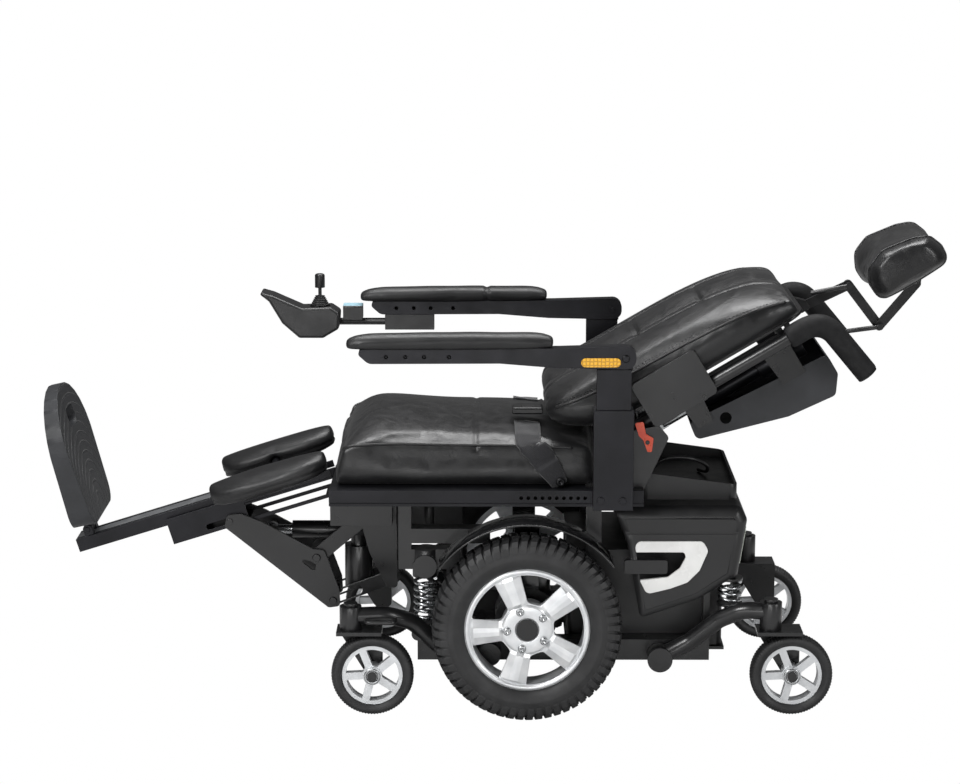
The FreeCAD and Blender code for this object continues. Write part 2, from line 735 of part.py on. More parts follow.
# The arc from a point with its tangent to a join, given the corner between them
def bend(start, corner, end):
    chord = (start + end) * 0.5
    rise = corner - chord
    half = (end - start).Length / 2
    sag = half * math.tan(math.atan2(rise.Length, half) / 2)
    rise.normalize()
    return Part.Arc(start, chord + rise * sag, end).toShape()


# Two arcs that leave one point and reach the next along the given tangents
def biarc(start, out, end, back):
    run = end - start
    a = 2 * (out.dot(back) - 1)
    b = -2 * run.dot(out + back)
    c = run.dot(run)
    reach = (-b - math.sqrt(b * b - 4 * a * c)) / (2 * a)
    first = start + out * reach
    last = end - back * reach
    join = (first + last) * 0.5
    return [bend(start, first, join), bend(join, last, end)]


# A coil spring: one tube wound on quarter-turn biarcs, its ends straight for one wire diameter
def coil(place, z, turns, node):
    low = z[0] + SPRING_WIRE / 2 + SPRING_END_ROOM
    rise = (z[1] - z[0] - SPRING_WIRE - SPRING_END_ROOM * 2) / turns
    slope = rise / (2 * math.pi * SPRING_R)

    def on_coil(turn):
        angle = 2 * math.pi * turn
        point = V(SPRING_R * math.cos(angle), SPRING_R * math.sin(angle), low + rise * turn)
        heading = V(-math.sin(angle), math.cos(angle), slope)
        heading.normalize()
        return point, heading

    first, out = on_coil(0)
    last, back = on_coil(turns)
    edges = [Part.LineSegment(first - out * SPRING_WIRE, first).toShape()]
    for i in range(turns * 4):
        start, leave = on_coil(i / 4)
        end, arrive = on_coil((i + 1) / 4)
        edges += biarc(start, leave, end, arrive)
    edges.append(Part.LineSegment(last, last + back * SPRING_WIRE).toShape())
    line = Part.Wire(edges)
    ring = Part.Wire(Part.makeCircle(SPRING_WIRE / 2, first - out * SPRING_WIRE, out))
    wound = line.makePipeShell([ring], True, False)
    samples = [on_coil(i / COIL_SAMPLES)[0] for i in range(turns * COIL_SAMPLES + 1)]
    least = min((samples[i] - samples[k]).Length
                for i in range(len(samples)) for k in range(i + COIL_SAMPLES // 2, len(samples)))
    full = math.pi * SPRING_WIRE ** 2 / 4 * line.Length
    print(node, "least gap", round(least - SPRING_WIRE, 2), "volume share", round(wound.Volume / full, 4))
    wound.translate(V(place[0], place[1], 0))
    return wound


def springs(name, side):
    wound = coil(FRONT_SPRING, FRONT_SPRING_Z, FRONT_SPRING_TURNS, "front_spring_" + name)
    save("front_spring_" + name, sided(wound, side))
    wound = coil(REAR_SPRING, REAR_SPRING_Z, REAR_SPRING_TURNS, "rear_spring_" + name)
    save("rear_spring_" + name, sided(wound, side))


# Power base: side rails, uprights, posts and cross members welded into one frame
def base_frame():
    pieces = []
    arm_out = ARM_Y + ARM_R + SIDE_GAP * 2
    for side in (-1, 1):
        one = [
            box(RAIL_X, RAIL_Y, RAIL_Z),
            box(UPRIGHT_X, RAIL_Y, (RAIL_Z[1] - 1, UPRIGHT_TOP)),
            box(FRONT_POST_X, RAIL_Y, (FRONT_POST_Z, SEAT_RAIL_Z[0])),
            box((FRONT_POST_X[1] - 1, FRONT_BEAM_END), RAIL_Y, FRONT_BEAM_Z),
            box((FRONT_POST_X[0], UPRIGHT_X[1]), RAIL_Y, (FRONT_POST_Z, UPRIGHT_TOP)),
            box(REAR_POST_X, RAIL_Y, (RAIL_Z[1] - 1, SEAT_RAIL_Z[0])),
            box((FRONT_POST_X[0], REAR_POST_X[1]), RAIL_Y, (SEAT_RAIL_Z[0] - BEAM_STRIP, SEAT_RAIL_Z[0])),
            pin(FRONT_ARM_PIVOT, (RAIL_Y[1] - 1, arm_out), ARM_PIN_R),
            pin(REAR_ARM_PIVOT, (RAIL_Y[1] - 1, arm_out), ARM_PIN_R),
            pin(REAR_ARM_PIVOT, (arm_out, arm_out + PIVOT_CAP_T), PIVOT_CAP_R),
            pin((FRONT_SPRING[0], SHOCK_EYE_Z), (RAIL_Y[1] - 1, SHOCK_CAP_Y), SHOCK_CAP_R),
        ]
        one.append(rod((*FRONT_SPRING, FRONT_SPRING_Z[1]), (*FRONT_SPRING, UPRIGHT_TOP), PERCH_R))
        top = REAR_SPRING_Z[1]
        one.append(rod((*REAR_SPRING, top), (*REAR_SPRING, top + PERCH_T), PERCH_R))
        one.append(box((RAIL_X[1] - BEAM_STRIP, REAR_SPRING[0]), RAIL_Y, (top, top + PERCH_T)))
        one.append(box((RAIL_X[1] - BEAM_STRIP, RAIL_X[1]), RAIL_Y, (RAIL_Z[1] - 1, top + PERCH_T)))
        frame_side = fuse(one)
        pieces.append(frame_side if side > 0 else mirror(frame_side))
    middle = (RAIL_Z[0] + RAIL_Z[1]) / 2
    x = RAIL_X[0] + CROSS_R * 2
    pieces.append(rod((x, -RAIL_Y[1] + CROSS_R, middle), (x, RAIL_Y[1] - CROSS_R, middle), CROSS_R))
    pieces.append(box(FLOOR_PAN_X, (-RAIL_Y[0] - 1, RAIL_Y[0] + 1), (PAN_Z - FLOOR_PAN_T, PAN_Z)))
    save("base_frame", fuse(pieces))


def battery_box():
    case = box(BATTERY_X, (-BATTERY_Y, BATTERY_Y), (PAN_Z, BATTERY_TOP))
    case = case.makeFillet(BATTERY_EDGE, edges_along(case, V(0, 0, 1)))
    save("battery_box", case)


# Motor, gearbox and mounting foot, bored for the wheel's axle
def drive_motors():
    can = pin((0, WHEEL_R), MOTOR_Y, MOTOR_R)
    gears = pin((0, WHEEL_R), (MOTOR_Y[1] - GEARBOX_LEN, MOTOR_Y[1]), GEARBOX_R)
    rail_room = box((-GEARBOX_R, GEARBOX_R), MOTOR_Y, (0, RAIL_Z[1]))
    foot = box((-MOTOR_FOOT_W / 2, MOTOR_FOOT_W / 2), RAIL_Y, (RAIL_Z[1], WHEEL_R))
    bore = pin((0, WHEEL_R), (MOTOR_Y[1] - AXLE_DEPTH - SIDE_GAP, MOTOR_Y[1] + 1), AXLE_R + RUN_FIT)
    save("drive_motors", pair(cut(fuse([can, gears, foot]), [bore, rail_room])))


# A thin arch over each wheel, on a tab that stands on the gearbox
def mudguards():
    start, end = (math.radians(a) for a in GUARD_ARC)
    middle = (start + end) / 2

    def at(radius, angle):
        return V(radius * math.cos(angle), GUARD_Y[0], WHEEL_R + radius * math.sin(angle))

    inner = GUARD_R - GUARD_T
    arch = Part.Wire([
        Part.Arc(at(GUARD_R, start), at(GUARD_R, middle), at(GUARD_R, end)).toShape(),
        Part.LineSegment(at(GUARD_R, end), at(inner, end)).toShape(),
        Part.Arc(at(inner, end), at(inner, middle), at(inner, start)).toShape(),
        Part.LineSegment(at(inner, start), at(GUARD_R, start)).toShape(),
    ])
    guard = Part.Face(arch).extrude(V(0, GUARD_Y[1] - GUARD_Y[0], 0))
    tab_y = (MOTOR_Y[1] - GUARD_T, GUARD_Y[0] + GUARD_T)
    half = GUARD_TAB_W / 2
    foot = WHEEL_R + math.sqrt(GEARBOX_R ** 2 - half ** 2)
    tab_top = WHEEL_R + math.sqrt(inner ** 2 - half ** 2) + GUARD_T / 2
    tab = box((-half, half), tab_y, (foot, tab_top))
    tab = tab.cut(pin((0, WHEEL_R), (0, GUARD_Y[1]), GEARBOX_R))
    save("mudguards", pair(fuse([guard, tab])))


# Moulded rear shroud, open below and in front, with a side window, and the tray on its top
def base_shroud():
    outer = plate(SHROUD_LINE, (-SHROUD_Y, SHROUD_Y), SHROUD_ROUND)
    edges = [e for e in outer.Edges if abs(abs(e.CenterOfMass.y) - SHROUD_Y) < NEAR]
    edges = [e for e in edges if e.CenterOfMass.z > RAIL_Z[1] * 2]
    back = [e for e in edges if e.CenterOfMass.x > FLOOR_PAN_X[1] or e.CenterOfMass.z > LEDGE_Z]
    outer = outer.makeFillet(SHROUD_EDGE, back)
    inset = SHROUD_Y - SHROUD_WALL
    inner_line = [(p[0] + dx, p[1] + dz) for p, (dx, dz) in zip(SHROUD_LINE, SHROUD_INSET)]
    inner = plate(inner_line, (-inset, inset), SHROUD_ROUND)
    edges = [e for e in inner.Edges if abs(abs(e.CenterOfMass.y) - inset) < NEAR]
    edges = [e for e in edges if e.CenterOfMass.x > BATTERY_X[1] or e.CenterOfMass.z > LEDGE_Z]
    inner = inner.makeFillet(SHROUD_EDGE - SHROUD_WALL, edges)
    shell = outer.cut(inner)
    window = plate(WINDOW_LINE, (-SHROUD_Y - 1, SHROUD_Y + 1), WINDOW_ROUND)
    groove = [
        box((SHROUD_LINE[0][0] - 1, SHROUD_LINE[2][0] + 1), y, (LEDGE_Z - LEDGE_STEP, LEDGE_Z))
        for y in ((SHROUD_Y - LEDGE_STEP / 3, SHROUD_Y + 1), (-SHROUD_Y - 1, -SHROUD_Y + LEDGE_STEP / 3))
    ]
    post_slots = [
        box((REAR_POST_X[0] - SIDE_GAP, REAR_POST_X[1] + SIDE_GAP * 2), y, (0, SEAT_RAIL_Z[1]))
        for y in (widen(RAIL_Y, SIDE_GAP), widen((-RAIL_Y[1], -RAIL_Y[0]), SIDE_GAP))
    ]
    perch_x = (REAR_SPRING[0] - PERCH_R, REAR_SPRING[0] + PERCH_R)
    perch_y = (REAR_SPRING[1] - PERCH_R, REAR_SPRING[1] + PERCH_R)
    perch_top = REAR_SPRING_Z[1] + PERCH_T + SIDE_GAP
    notches = pair(box(widen(perch_x, SIDE_GAP), widen(perch_y, SIDE_GAP), (0, perch_top)))
    shell = cut(shell, [window] + groove + post_slots + notches)
    light = light_bars(SEAT_GAP)
    shell = cut(shell, light)
    plug = box(PLUG_X, (SHROUD_Y - PLUG_T[0], SHROUD_Y + PLUG_T[1]), PLUG_Z)
    plug = plug.makeFillet(PLUG_ROUND, edges_along(plug, V(0, 1, 0)))
    shell = fuse([shell] + pair(plug))
    save("base_shroud", [shell, tray()])


def widen(span, room):
    return (span[0] - room, span[1] + room)


# The tray behind the seat, a rounded box with an open pocket
def tray():
    base_z = SHROUD_LINE[0][1]
    case = box(TRAY_X, (-TRAY_Y, TRAY_Y), (base_z, TRAY_TOP))
    case = case.makeFillet(TRAY_ROUND, edges_along(case, V(0, 0, 1)))
    slope = plate(((TRAY_X[0] - 1, TRAY_TOP + 1), (TRAY_X[1] + 1, TRAY_TOP + 1), (TRAY_X[1] + 1, TRAY_BACK)),
                  (-TRAY_Y - 1, TRAY_Y + 1))
    room = (TRAY_X[0] + TRAY_WALL, TRAY_X[1] - TRAY_WALL)
    pocket = box(room, (-TRAY_Y + TRAY_WALL, TRAY_Y - TRAY_WALL), (base_z + TRAY_FLOOR, TRAY_TOP + 1))
    return case.cut(slope).cut(pocket)


# Pale light strips let into the shroud's rear corners
def light_bars(room):
    bars = []
    for y in (-LIGHT_Y, LIGHT_Y):
        x = SHROUD_LINE[2][0]
        points = ((LIGHT_X[0] - room, LIGHT_Z[0] - room), (LIGHT_X[1], LIGHT_Z[0] - room),
                  (x, LIGHT_Z[1] + room), (LIGHT_X[0] - room, LIGHT_Z[1] + room))
        bars.append(plate(points, widen((y - LIGHT_W / 2, y + LIGHT_W / 2), room)))
    return bars


# A crescent lines each side window, open at the front; the light strips share its node
def shroud_trim():
    outer = plate(WINDOW_LINE, (SHROUD_Y - SHROUD_WALL, SHROUD_Y + ACCENT_T), WINDOW_ROUND)
    inner = plate(ACCENT_LINE, (0, SHROUD_Y * 2), ACCENT_ROUND)
    save("shroud_trim", pair(outer.cut(inner)) + light_bars(0.0))


# Seat: extruded side rails with a row of accessory holes, cross tubes and pan
def seat_frame():
    pieces = []
    top = SEAT_RAIL_Z[1]
    for rail in pair(box(SEAT_RAIL_X, SEAT_RAIL_Y, SEAT_RAIL_Z)):
        pieces.append(rail)
    low = top - SEAT_PAN_T - SEAT_CROSS_W
    for x in SEAT_CROSS_X:
        span = (x - SEAT_CROSS_W / 2, x + SEAT_CROSS_W / 2)
        pieces.append(box(span, (-SEAT_RAIL_Y[0] - 1, SEAT_RAIL_Y[0] + 1), (low, top - SEAT_PAN_T)))
    pieces.append(box(SEAT_PAN_X, (-SEAT_RAIL_Y[0] - 1, SEAT_RAIL_Y[0] + 1), (top - SEAT_PAN_T, top)))
    tools = []
    for i in range(RAIL_HOLES):
        place = (RAIL_HOLE_X + RAIL_HOLE_PITCH * i, RAIL_HOLE_Z)
        tools.append(pin(place, (-SEAT_RAIL_Y[1] - 1, SEAT_RAIL_Y[1] + 1), RAIL_HOLE_R))
    middle = (SEAT_RAIL_Z[0] + SEAT_RAIL_Z[1]) / 2 - SEAT_GROOVE * 4
    groove_y = (SEAT_RAIL_Y[1] - SEAT_GROOVE, SEAT_RAIL_Y[1] + 1)
    tools += pair(box(widen(SEAT_RAIL_X, 1), groove_y, (middle, middle + SEAT_GROOVE)))
    save("seat_frame", cut(fuse(pieces), tools))


# A cushion cross-section: flat below, bulging sides, crowned top with an optional centre channel
def cushion_section(at, half_low, half_side, half_top, low, seam, crown, channel):
    middle = (low + seam) / 2
    sides = [
        Part.LineSegment(at(-half_low, low), at(half_low, low)).toShape(),
        Part.Arc(at(half_low, low), at(half_side, middle), at(half_top, seam)).toShape(),
    ]
    if channel is None:
        sides.append(Part.Arc(at(half_top, seam), at(0, crown), at(-half_top, seam)).toShape())
    else:
        lobe = half_top * BOLSTER_SHARE
        sides.append(Part.Arc(at(half_top, seam), at(lobe, crown), at(0, channel)).toShape())
        sides.append(Part.Arc(at(0, channel), at(-lobe, crown), at(-half_top, seam)).toShape())
    sides.append(Part.Arc(at(-half_top, seam), at(-half_side, middle), at(-half_low, low)).toShape())
    return Part.Wire(sides)


def seat_cushion():
    low = SEAT_RAIL_Z[1] + SOFT_GAP
    wires = []
    for x, lean, seam, crown in CUSHION_STATIONS:
        def at(y, z):
            return V(x + lean * (z - low), y, z)

        wires.append(cushion_section(at, CUSHION_BASE_Y, CUSHION_BASE_Y + CUSHION_BULGE, CUSHION_SEAM_Y,
                                     low, seam, crown, None))
    save("seat_cushion", Part.makeLoft(wires, True, False))


# Two belt halves: up each side from its anchor and over the cushion's edge, one with the buckle
def lap_belt():
    x = BELT_ANCHOR
    y = CUSHION_BASE_Y + CUSHION_BULGE + BELT_T
    low = SEAT_RAIL_Z[1] + SOFT_GAP
    half_w = BELT_W / 2
    top_x = x - BELT_LEAN
    strap_line = ((x - half_w, low), (x + half_w, low), (top_x + half_w, BELT_EDGE_Z),
                  (top_x - half_w, BELT_EDGE_Z))
    strap = plate(strap_line, (y, y + BELT_T))
    end_y = y - BELT_FLAP
    corners = ((y + BELT_T, BELT_EDGE_Z - BELT_T), (y + BELT_T, BELT_EDGE_Z), (end_y, BELT_END_Z),
               (end_y, BELT_END_Z - BELT_T))
    points = [V(top_x - half_w, p[0], p[1]) for p in corners]
    flap = Part.Face(Part.makePolygon(points + points[:1])).extrude(V(BELT_W, 0, 0))
    screw = pin((x, low + BELT_T * 4), (y, y + BELT_T * 3), BOLT_HEAD_R)
    half = fuse([strap, flap, screw])
    sx, sy, sz = BUCKLE_SIZE
    buckle = box((top_x - sx / 2, top_x + sx / 2), (end_y - sy, end_y),
                 (BELT_END_Z - sz / 2, BELT_END_Z + sz / 2))
    save("lap_belt", pair(half) + [buckle])


# Hinge plates stand inside the seat rails and carry the back's hinge pins
def recline_brackets():
    x = SEAT_CROSS_X[2]
    notch = box(widen((x - SEAT_CROSS_W / 2, x + SEAT_CROSS_W / 2), SEAT_GAP), widen(BRACKET_Y, 1),
                (0, SEAT_RAIL_Z[1]))
    bracket = plate(BRACKET_LINE, BRACKET_Y, LEG_ROUND).cut(notch)
    hinge = pin(HINGE, (BRACKET_Y[0] - HINGE_PIN_LEN, BRACKET_Y[0] + 1), HINGE_R)
    stop = pin(LEVER_PIVOT, (BRACKET_Y[1] - 1, BRACKET_Y[1] + LEVER_T + SIDE_GAP * 2), LEVER_PIN_R)
    plain = fuse([bracket, hinge])
    save("recline_brackets", [fuse([mirror(plain), mirror(stop)]), plain])


# The release lever on the left bracket
def recline_lever():
    y = BRACKET_Y[1] + SIDE_GAP / 2
    lever = plate(LEVER_LINE, (y, y + LEVER_T), LEVER_ROUND)
    lever = lever.cut(pin(LEVER_PIVOT, (y - 1, y + LEVER_T + 1), LEVER_PIN_R + RUN_FIT))
    save("recline_lever", mirror(lever))


# Armrests: a sleeve bolted to the seat rail, a sliding post, a beam that flips up, and its pad
def armrest_sleeves():
    inner = SEAT_RAIL_Y[1]
    outer = ARM_CENTRE_Y + POST_W / 2 + SLEEVE_WALL
    sleeve = box(SLEEVE_X, (inner, outer), SLEEVE_Z)
    room = SLIDE_GAP
    post_y = (ARM_CENTRE_Y - POST_W / 2, ARM_CENTRE_Y + POST_W / 2)
    cavity = box(widen(POST_X, room), widen(post_y, room), (SLEEVE_Z[0] + SLEEVE_WALL * 8, SLEEVE_Z[1] + 1))
    sleeve = sleeve.cut(cavity)
    bolts = [pin((x, SLEEVE_BOLT_Z), (outer, outer + BOLT_HEAD_H), BOLT_HEAD_R) for x in SLEEVE_BOLT_X]
    save("armrest_sleeves", pair(sleeve) + [b for bolt in bolts for b in pair(bolt)])


def armrest(name, side):
    y = (ARM_CENTRE_Y - POST_W / 2, ARM_CENTRE_Y + POST_W / 2)
    tongue_y = (ARM_CENTRE_Y - TONGUE_W / 2, ARM_CENTRE_Y + TONGUE_W / 2)
    x, z = BEAM_PIVOT
    tongue = box((x - TONGUE_R, x + TONGUE_R), tongue_y, (POST_Z[1] - 1, z))
    tongue = fuse([tongue, pin(BEAM_PIVOT, tongue_y, TONGUE_R)])
    shaft = box(POST_X, y, POST_Z)
    flip = pin(BEAM_PIVOT, widen(y, (BEAM_W - POST_W) / 2 + BOLT_HEAD_H), FLIP_PIN_R)
    post = fuse([shaft, tongue, flip])
    save("armrest_post_" + name, sided(post, side))
    beam_y = (ARM_CENTRE_Y - BEAM_W / 2, ARM_CENTRE_Y + BEAM_W / 2)
    beam = plate(BEAM_LINE, beam_y, BEAM_END_R)
    room = TONGUE_R + BEAM_SLOT_ROOM
    slot_y = widen(tongue_y, SIDE_GAP)
    slot = box((x - room, BEAM_LINE[4][0] + 1), slot_y, (BEAM_LINE[4][1] - 1, z + room))
    tools = [slot, pin(BEAM_PIVOT, widen(beam_y, 1), FLIP_PIN_R + RUN_FIT)]
    for hole in BEAM_HOLE_X:
        tools.append(pin((hole, BEAM_HOLE_Z), widen(beam_y, 1), BEAM_HOLE_R))
    save("armrest_beam_" + name, sided(cut(beam, tools), side))
    save("armrest_pad_" + name, sided(armrest_pad(), side))


# Moulded arm pad: a loft of crowned sections along the beam's top
def armrest_pad():
    front, rear = PAD_X
    length = rear - front
    wires = []
    for share, size in PAD_STATIONS:
        x = front + length * share
        low = beam_top(x) + SOFT_GAP

        def at(y, z):
            return V(x, ARM_CENTRE_Y + y, z)

        half = PAD_W / 2 * size
        seam = low + PAD_H * PAD_SEAM * size
        wires.append(cushion_section(at, half - PAD_DRAW, half, half - PAD_DRAW / 2, low, seam,
                                     low + (PAD_H + PAD_CROWN) * size, None))
    return Part.makeLoft(wires, True, False)


# Height of the beam's top edge at x, along its straight line from the front to the step
def beam_top(x):
    start, end = BEAM_LINE[0], BEAM_LINE[-1]
    share = max(0.0, (x - start[0]) / (end[0] - start[0]))
    return start[1] + (end[1] - start[1]) * share


# Moves a shape drawn along X and Z into a leaning frame
def lean(shape, origin, angle):
    shape = shape.copy()
    shape.rotate(V(0, 0, 0), V(0, 1, 0), -angle)
    shape.translate(V(origin[0], 0, origin[1]))
    return shape


def on_back(shape):
    return lean(shape, BACK_ORIGIN, BACK_ANGLE)


# A point of the room in a leaning frame
def local(point, origin, angle):
    dx = point[0] - origin[0]
    dz = point[1] - origin[1]
    turn = math.radians(angle)
    return (dx * math.cos(turn) + dz * math.sin(turn), dz * math.cos(turn) - dx * math.sin(turn))


# Back canes with hinge ears, cross tubes and cover hangers, and the foam push grips on their ends
def back_frame():
    hinge = local(HINGE, BACK_ORIGIN, BACK_ANGLE)
    route = [(CANE_START, CANE_Y, 0), (CANE_CORNER, CANE_Y, 0), (GRIP_TIP[0], CANE_Y, GRIP_TIP[1])]
    drop = V(*route[2]) - V(*route[1])
    drop.normalize()
    end = V(*route[2]) - drop * GRIP_END_T
    cane_route = route[:2] + [tuple(end)]
    grip_route = [(GRIP_START, CANE_Y, 0)] + route[1:]
    ear_y = (CANE_Y - HINGE_EAR_T / 2, CANE_Y + HINGE_EAR_T / 2)
    side = HINGE_EAR_HALF
    ear_line = ((hinge[0] - side, hinge[1] + side / 2), (hinge[0] + side, hinge[1] - side),
                (HINGE_EAR_A, -side / 2), (HINGE_EAR_A, side / 2), (CANE_START, side))
    pieces = []
    for one in pair(tube(cane_route, CANE_R, CANE_BEND)):
        pieces.append(one)
    for one in pair(fuse([plate(ear_line, ear_y), pin(hinge, ear_y, HINGE_EAR_R)])):
        pieces.append(one)
    for a in CANE_CROSS_A:
        pieces.append(rod((a, -CANE_Y, 0), (a, CANE_Y, 0), CANE_CROSS_R))
    for one in pair(plate(HANGER_PLATE, (COVER_Y, COVER_Y + HANGER_PLATE_T))):
        pieces.append(one)
    bore = pin(hinge, (-CANE_Y * 2, CANE_Y * 2), HINGE_R + RUN_FIT)
    frame = cut(fuse(pieces), [bore])
    grip = tube(grip_route, GRIP_R, CANE_BEND).cut(tube(cane_route, CANE_R + SEAT_GAP, CANE_BEND))
    save("back_frame", [on_back(frame)] + [on_back(g) for g in pair(grip)])


# The back's carrier slides on the canes: four bushes, side channels, the back pan and the headrest lugs
def back_shell():
    room = CANE_R + RUN_FIT * 2
    pan_box = box(SHELL_A, (-SHELL_Y, SHELL_Y), SHELL_N)
    pan_box = pan_box.makeFillet(SHELL_ROUND, edges_along(pan_box, V(0, 0, 1)))
    pieces = [pan_box]
    for a in CARRIAGE_A:
        span = (a - CARRIAGE_LEN / 2, a + CARRIAGE_LEN / 2)
        bush = box(span, (CANE_Y - CARRIAGE_R, CHANNEL_Y[0] + 1), (-CARRIAGE_R, CARRIAGE_R))
        strap = box(span, (SHELL_Y - CARRIAGE_R, CHANNEL_Y[0] + 1), (CARRIAGE_R - 1, SHELL_N[1]))
        pieces += pair(bush) + pair(strap)
    channel_line = ((CHANNEL_A[0], CHANNEL_N[0]), (CHANNEL_A[1], CHANNEL_N[0]), (CHANNEL_A[1], CHANNEL_N[1]),
                    (CHANNEL_A[0], CHANNEL_N[1]))
    pieces += pair(plate(channel_line, CHANNEL_Y, CHANNEL_ROUND))
    stem = local(STEM_BASE, BACK_ORIGIN, BACK_ANGLE)
    lug_y = (LINK_T / 2 + SIDE_GAP / 2, LINK_T * 3 / 2)
    foot = stem[0] - LUG_LEN * 2
    near = stem[0] - LINK_W / 2
    far = stem[0] + LINK_W / 2
    lug_line = ((foot, SHELL_N[1]), (foot, SHELL_N[0] - 1), (near, stem[1] - LINK_W / 2),
                (far, stem[1] - LINK_W / 2), (far, stem[1] + LINK_W / 2), (near, SHELL_N[1]))
    for lug in pair(plate(lug_line, lug_y, LINK_W / 4)):
        pieces.append(lug)
    stem_pin = pin(stem, (-lug_y[1], lug_y[1]), LINK_PIN_R)
    lug_a = (ACT_BODY_A[1] - ACT_LUG_T, ACT_BODY_A[1])
    lug = box(lug_a, (ACTUATOR_Y - ACT_LUG_T / 2, ACTUATOR_Y + ACT_LUG_T / 2),
              (ACTUATOR_N + ACT_MOTOR_R, SHELL_N[0] + 1))
    pieces += [stem_pin, lug]
    bores = pair(rod((SHELL_A[0] * 2, CANE_Y, 0), (SHELL_A[1] * 2, CANE_Y, 0), room))
    save("back_shell", on_back(cut(fuse(pieces), bores)))


def back_cushion():
    wires = []
    for a, low, seam, crown, channel, half in BACK_STATIONS:
        def at(y, n):
            return V(a, y, n)

        under = half - BACK_UNDER
        wires.append(cushion_section(at, under, half + BACK_BULGE, half, low, seam, crown, channel))
    pan_room = box(SHELL_A, (-SHELL_Y, SHELL_Y), (0, SHELL_N[1] + SOFT_GAP))
    save("back_cushion", on_back(Part.makeLoft(wires, True, False).cut(pan_room)))


# The cover under the back, an open-topped moulded box with a knock-out in its near side
def back_cover():
    outer = plate(COVER_LINE, (-COVER_Y, COVER_Y), COVER_ROUND)
    wall = COVER_WALL
    lift = COVER_WALL * 4
    inset = ((wall, lift), (wall, wall), (0, wall), (-wall / 2, wall), (-wall, 0), (-wall, lift))
    inner_line = [(p[0] + d[0], p[1] + d[1]) for p, d in zip(COVER_LINE, inset)]
    room = COVER_Y - COVER_WALL
    shell = outer.cut(plate(inner_line, (-room, room), COVER_ROUND / 2))
    hole = pin(COVER_HOLE, (-COVER_Y - 1, -room + COVER_WALL / 2), COVER_HOLE_R)
    save("back_cover", on_back(shell.cut(hole)))


# Linear actuator along the back: the tube and motor ride on the carrier, the rod stays with the canes
def back_actuator():
    low, high = ACT_BODY_A
    axis = (ACTUATOR_Y, ACTUATOR_N)
    barrel = rod((low, *axis), (high, *axis), ACT_TUBE_R)
    motor = rod((high - ACT_MOTOR_LEN, *axis), (high, *axis), ACT_MOTOR_R)
    bore = rod((low - 1, *axis), (high - ACT_LUG_T, *axis), ACT_ROD_R + RUN_FIT)
    save("back_actuator_body", on_back(fuse([barrel, motor]).cut(bore)))
    stem = rod((ACT_ROD_A[0], *axis), (ACT_ROD_A[1], *axis), ACT_ROD_R)
    foot_y = (ACTUATOR_Y - ACT_LUG_T / 2, ACTUATOR_Y + ACT_LUG_T / 2)
    cross = CANE_CROSS_A[0]
    half = CANE_CROSS_R + ACT_LUG_T / 2
    near = ACT_ROD_A[0] - ACT_LUG_T
    far = ACT_ROD_A[0] + ACT_LUG_T
    foot_line = ((cross - half, half), (cross + half, half), (far, ACTUATOR_N + ACT_ROD_R),
                 (far, ACTUATOR_N - ACT_ROD_R), (near, ACTUATOR_N - ACT_ROD_R), (cross - half, 0))
    foot = plate(foot_line, foot_y, ACT_LUG_T / 3)
    foot = foot.cut(rod((cross, -CANE_Y, 0), (cross, CANE_Y, 0), CANE_CROSS_R + SEAT_GAP))
    save("back_actuator_rod", on_back(fuse([stem, foot])))


# A flat link with round ends between two pivots
def link(start, end, y, width):
    run = V(end[0] - start[0], 0, end[1] - start[1])
    run.normalize()
    side = V(-run.z, 0, run.x) * (width / 2)
    corners = [(start[0] + side.x, start[1] + side.z), (end[0] + side.x, end[1] + side.z),
               (end[0] - side.x, end[1] - side.z), (start[0] - side.x, start[1] - side.z)]
    return fuse([plate(corners, y), pin(start, y, width / 2), pin(end, y, width / 2)])


# Headrest: two links with clamp levers, then the bracket that carries the pad
def headrest():
    centre = (-LINK_T / 2, LINK_T / 2)
    beside = (LINK_T / 2 + SIDE_GAP / 2, LINK_T * 3 / 2)
    lock_y = -LINK_T * 2
    tail = (lock_y - LOCK_R - SIDE_GAP, beside[1] + LINK_T / 2)
    knee_pin = pin(HEAD_KNEE, tail, LINK_PIN_R)
    knee_lock = rod((HEAD_KNEE[0], lock_y, HEAD_KNEE[1]), (LOCK_KNEE[0], lock_y, LOCK_KNEE[1]), LOCK_R)
    lower = fuse([link(STEM_BASE, HEAD_KNEE, centre, LINK_W), knee_pin, knee_lock])
    save("headrest_lower_link", cut(lower, [pin(STEM_BASE, widen(centre, 1), LINK_PIN_R + RUN_FIT)]))
    elbow_pin = pin(HEAD_ELBOW, tail, LINK_PIN_R)
    elbow_lock = rod((HEAD_ELBOW[0], lock_y, HEAD_ELBOW[1]), (LOCK_ELBOW[0], lock_y, LOCK_ELBOW[1]), LOCK_R)
    upper = fuse([link(HEAD_KNEE, HEAD_ELBOW, beside, LINK_W), elbow_pin, elbow_lock])
    save("headrest_upper_link", cut(upper, [pin(HEAD_KNEE, widen(beside, 1), LINK_PIN_R + RUN_FIT)]))
    bracket = fuse([link(HEAD_ELBOW, HEAD_TOP, centre, LINK_W),
                    rod((HEAD_TOP[0], 0, HEAD_TOP[1]), (PAD_STUD[0], 0, PAD_STUD[1]), PAD_STUD_R)])
    bracket = bracket.cut(pin(HEAD_ELBOW, widen(centre, 1), LINK_PIN_R + RUN_FIT))
    wires = []
    for y, size, hollow in HEADREST_STATIONS:
        points = [(p[0] * size, p[1] * size - (hollow if p[1] > 0 else 0.0)) for p in HEADREST_LINE]
        wires.append(outline(points, y, HEADREST_ROUND * size))
    pad = lean(Part.makeLoft(wires, True, False), PAD_CENTRE, PAD_TILT)
    stud = rod((HEAD_TOP[0], 0, HEAD_TOP[1]), (PAD_STUD[0], 0, PAD_STUD[1]), PAD_STUD_R + SEAT_GAP)
    save("headrest_pad", [bracket, pad.cut(stud)])


def on_leg(shape):
    return lean(shape, KNEE, LEG_ANGLE)


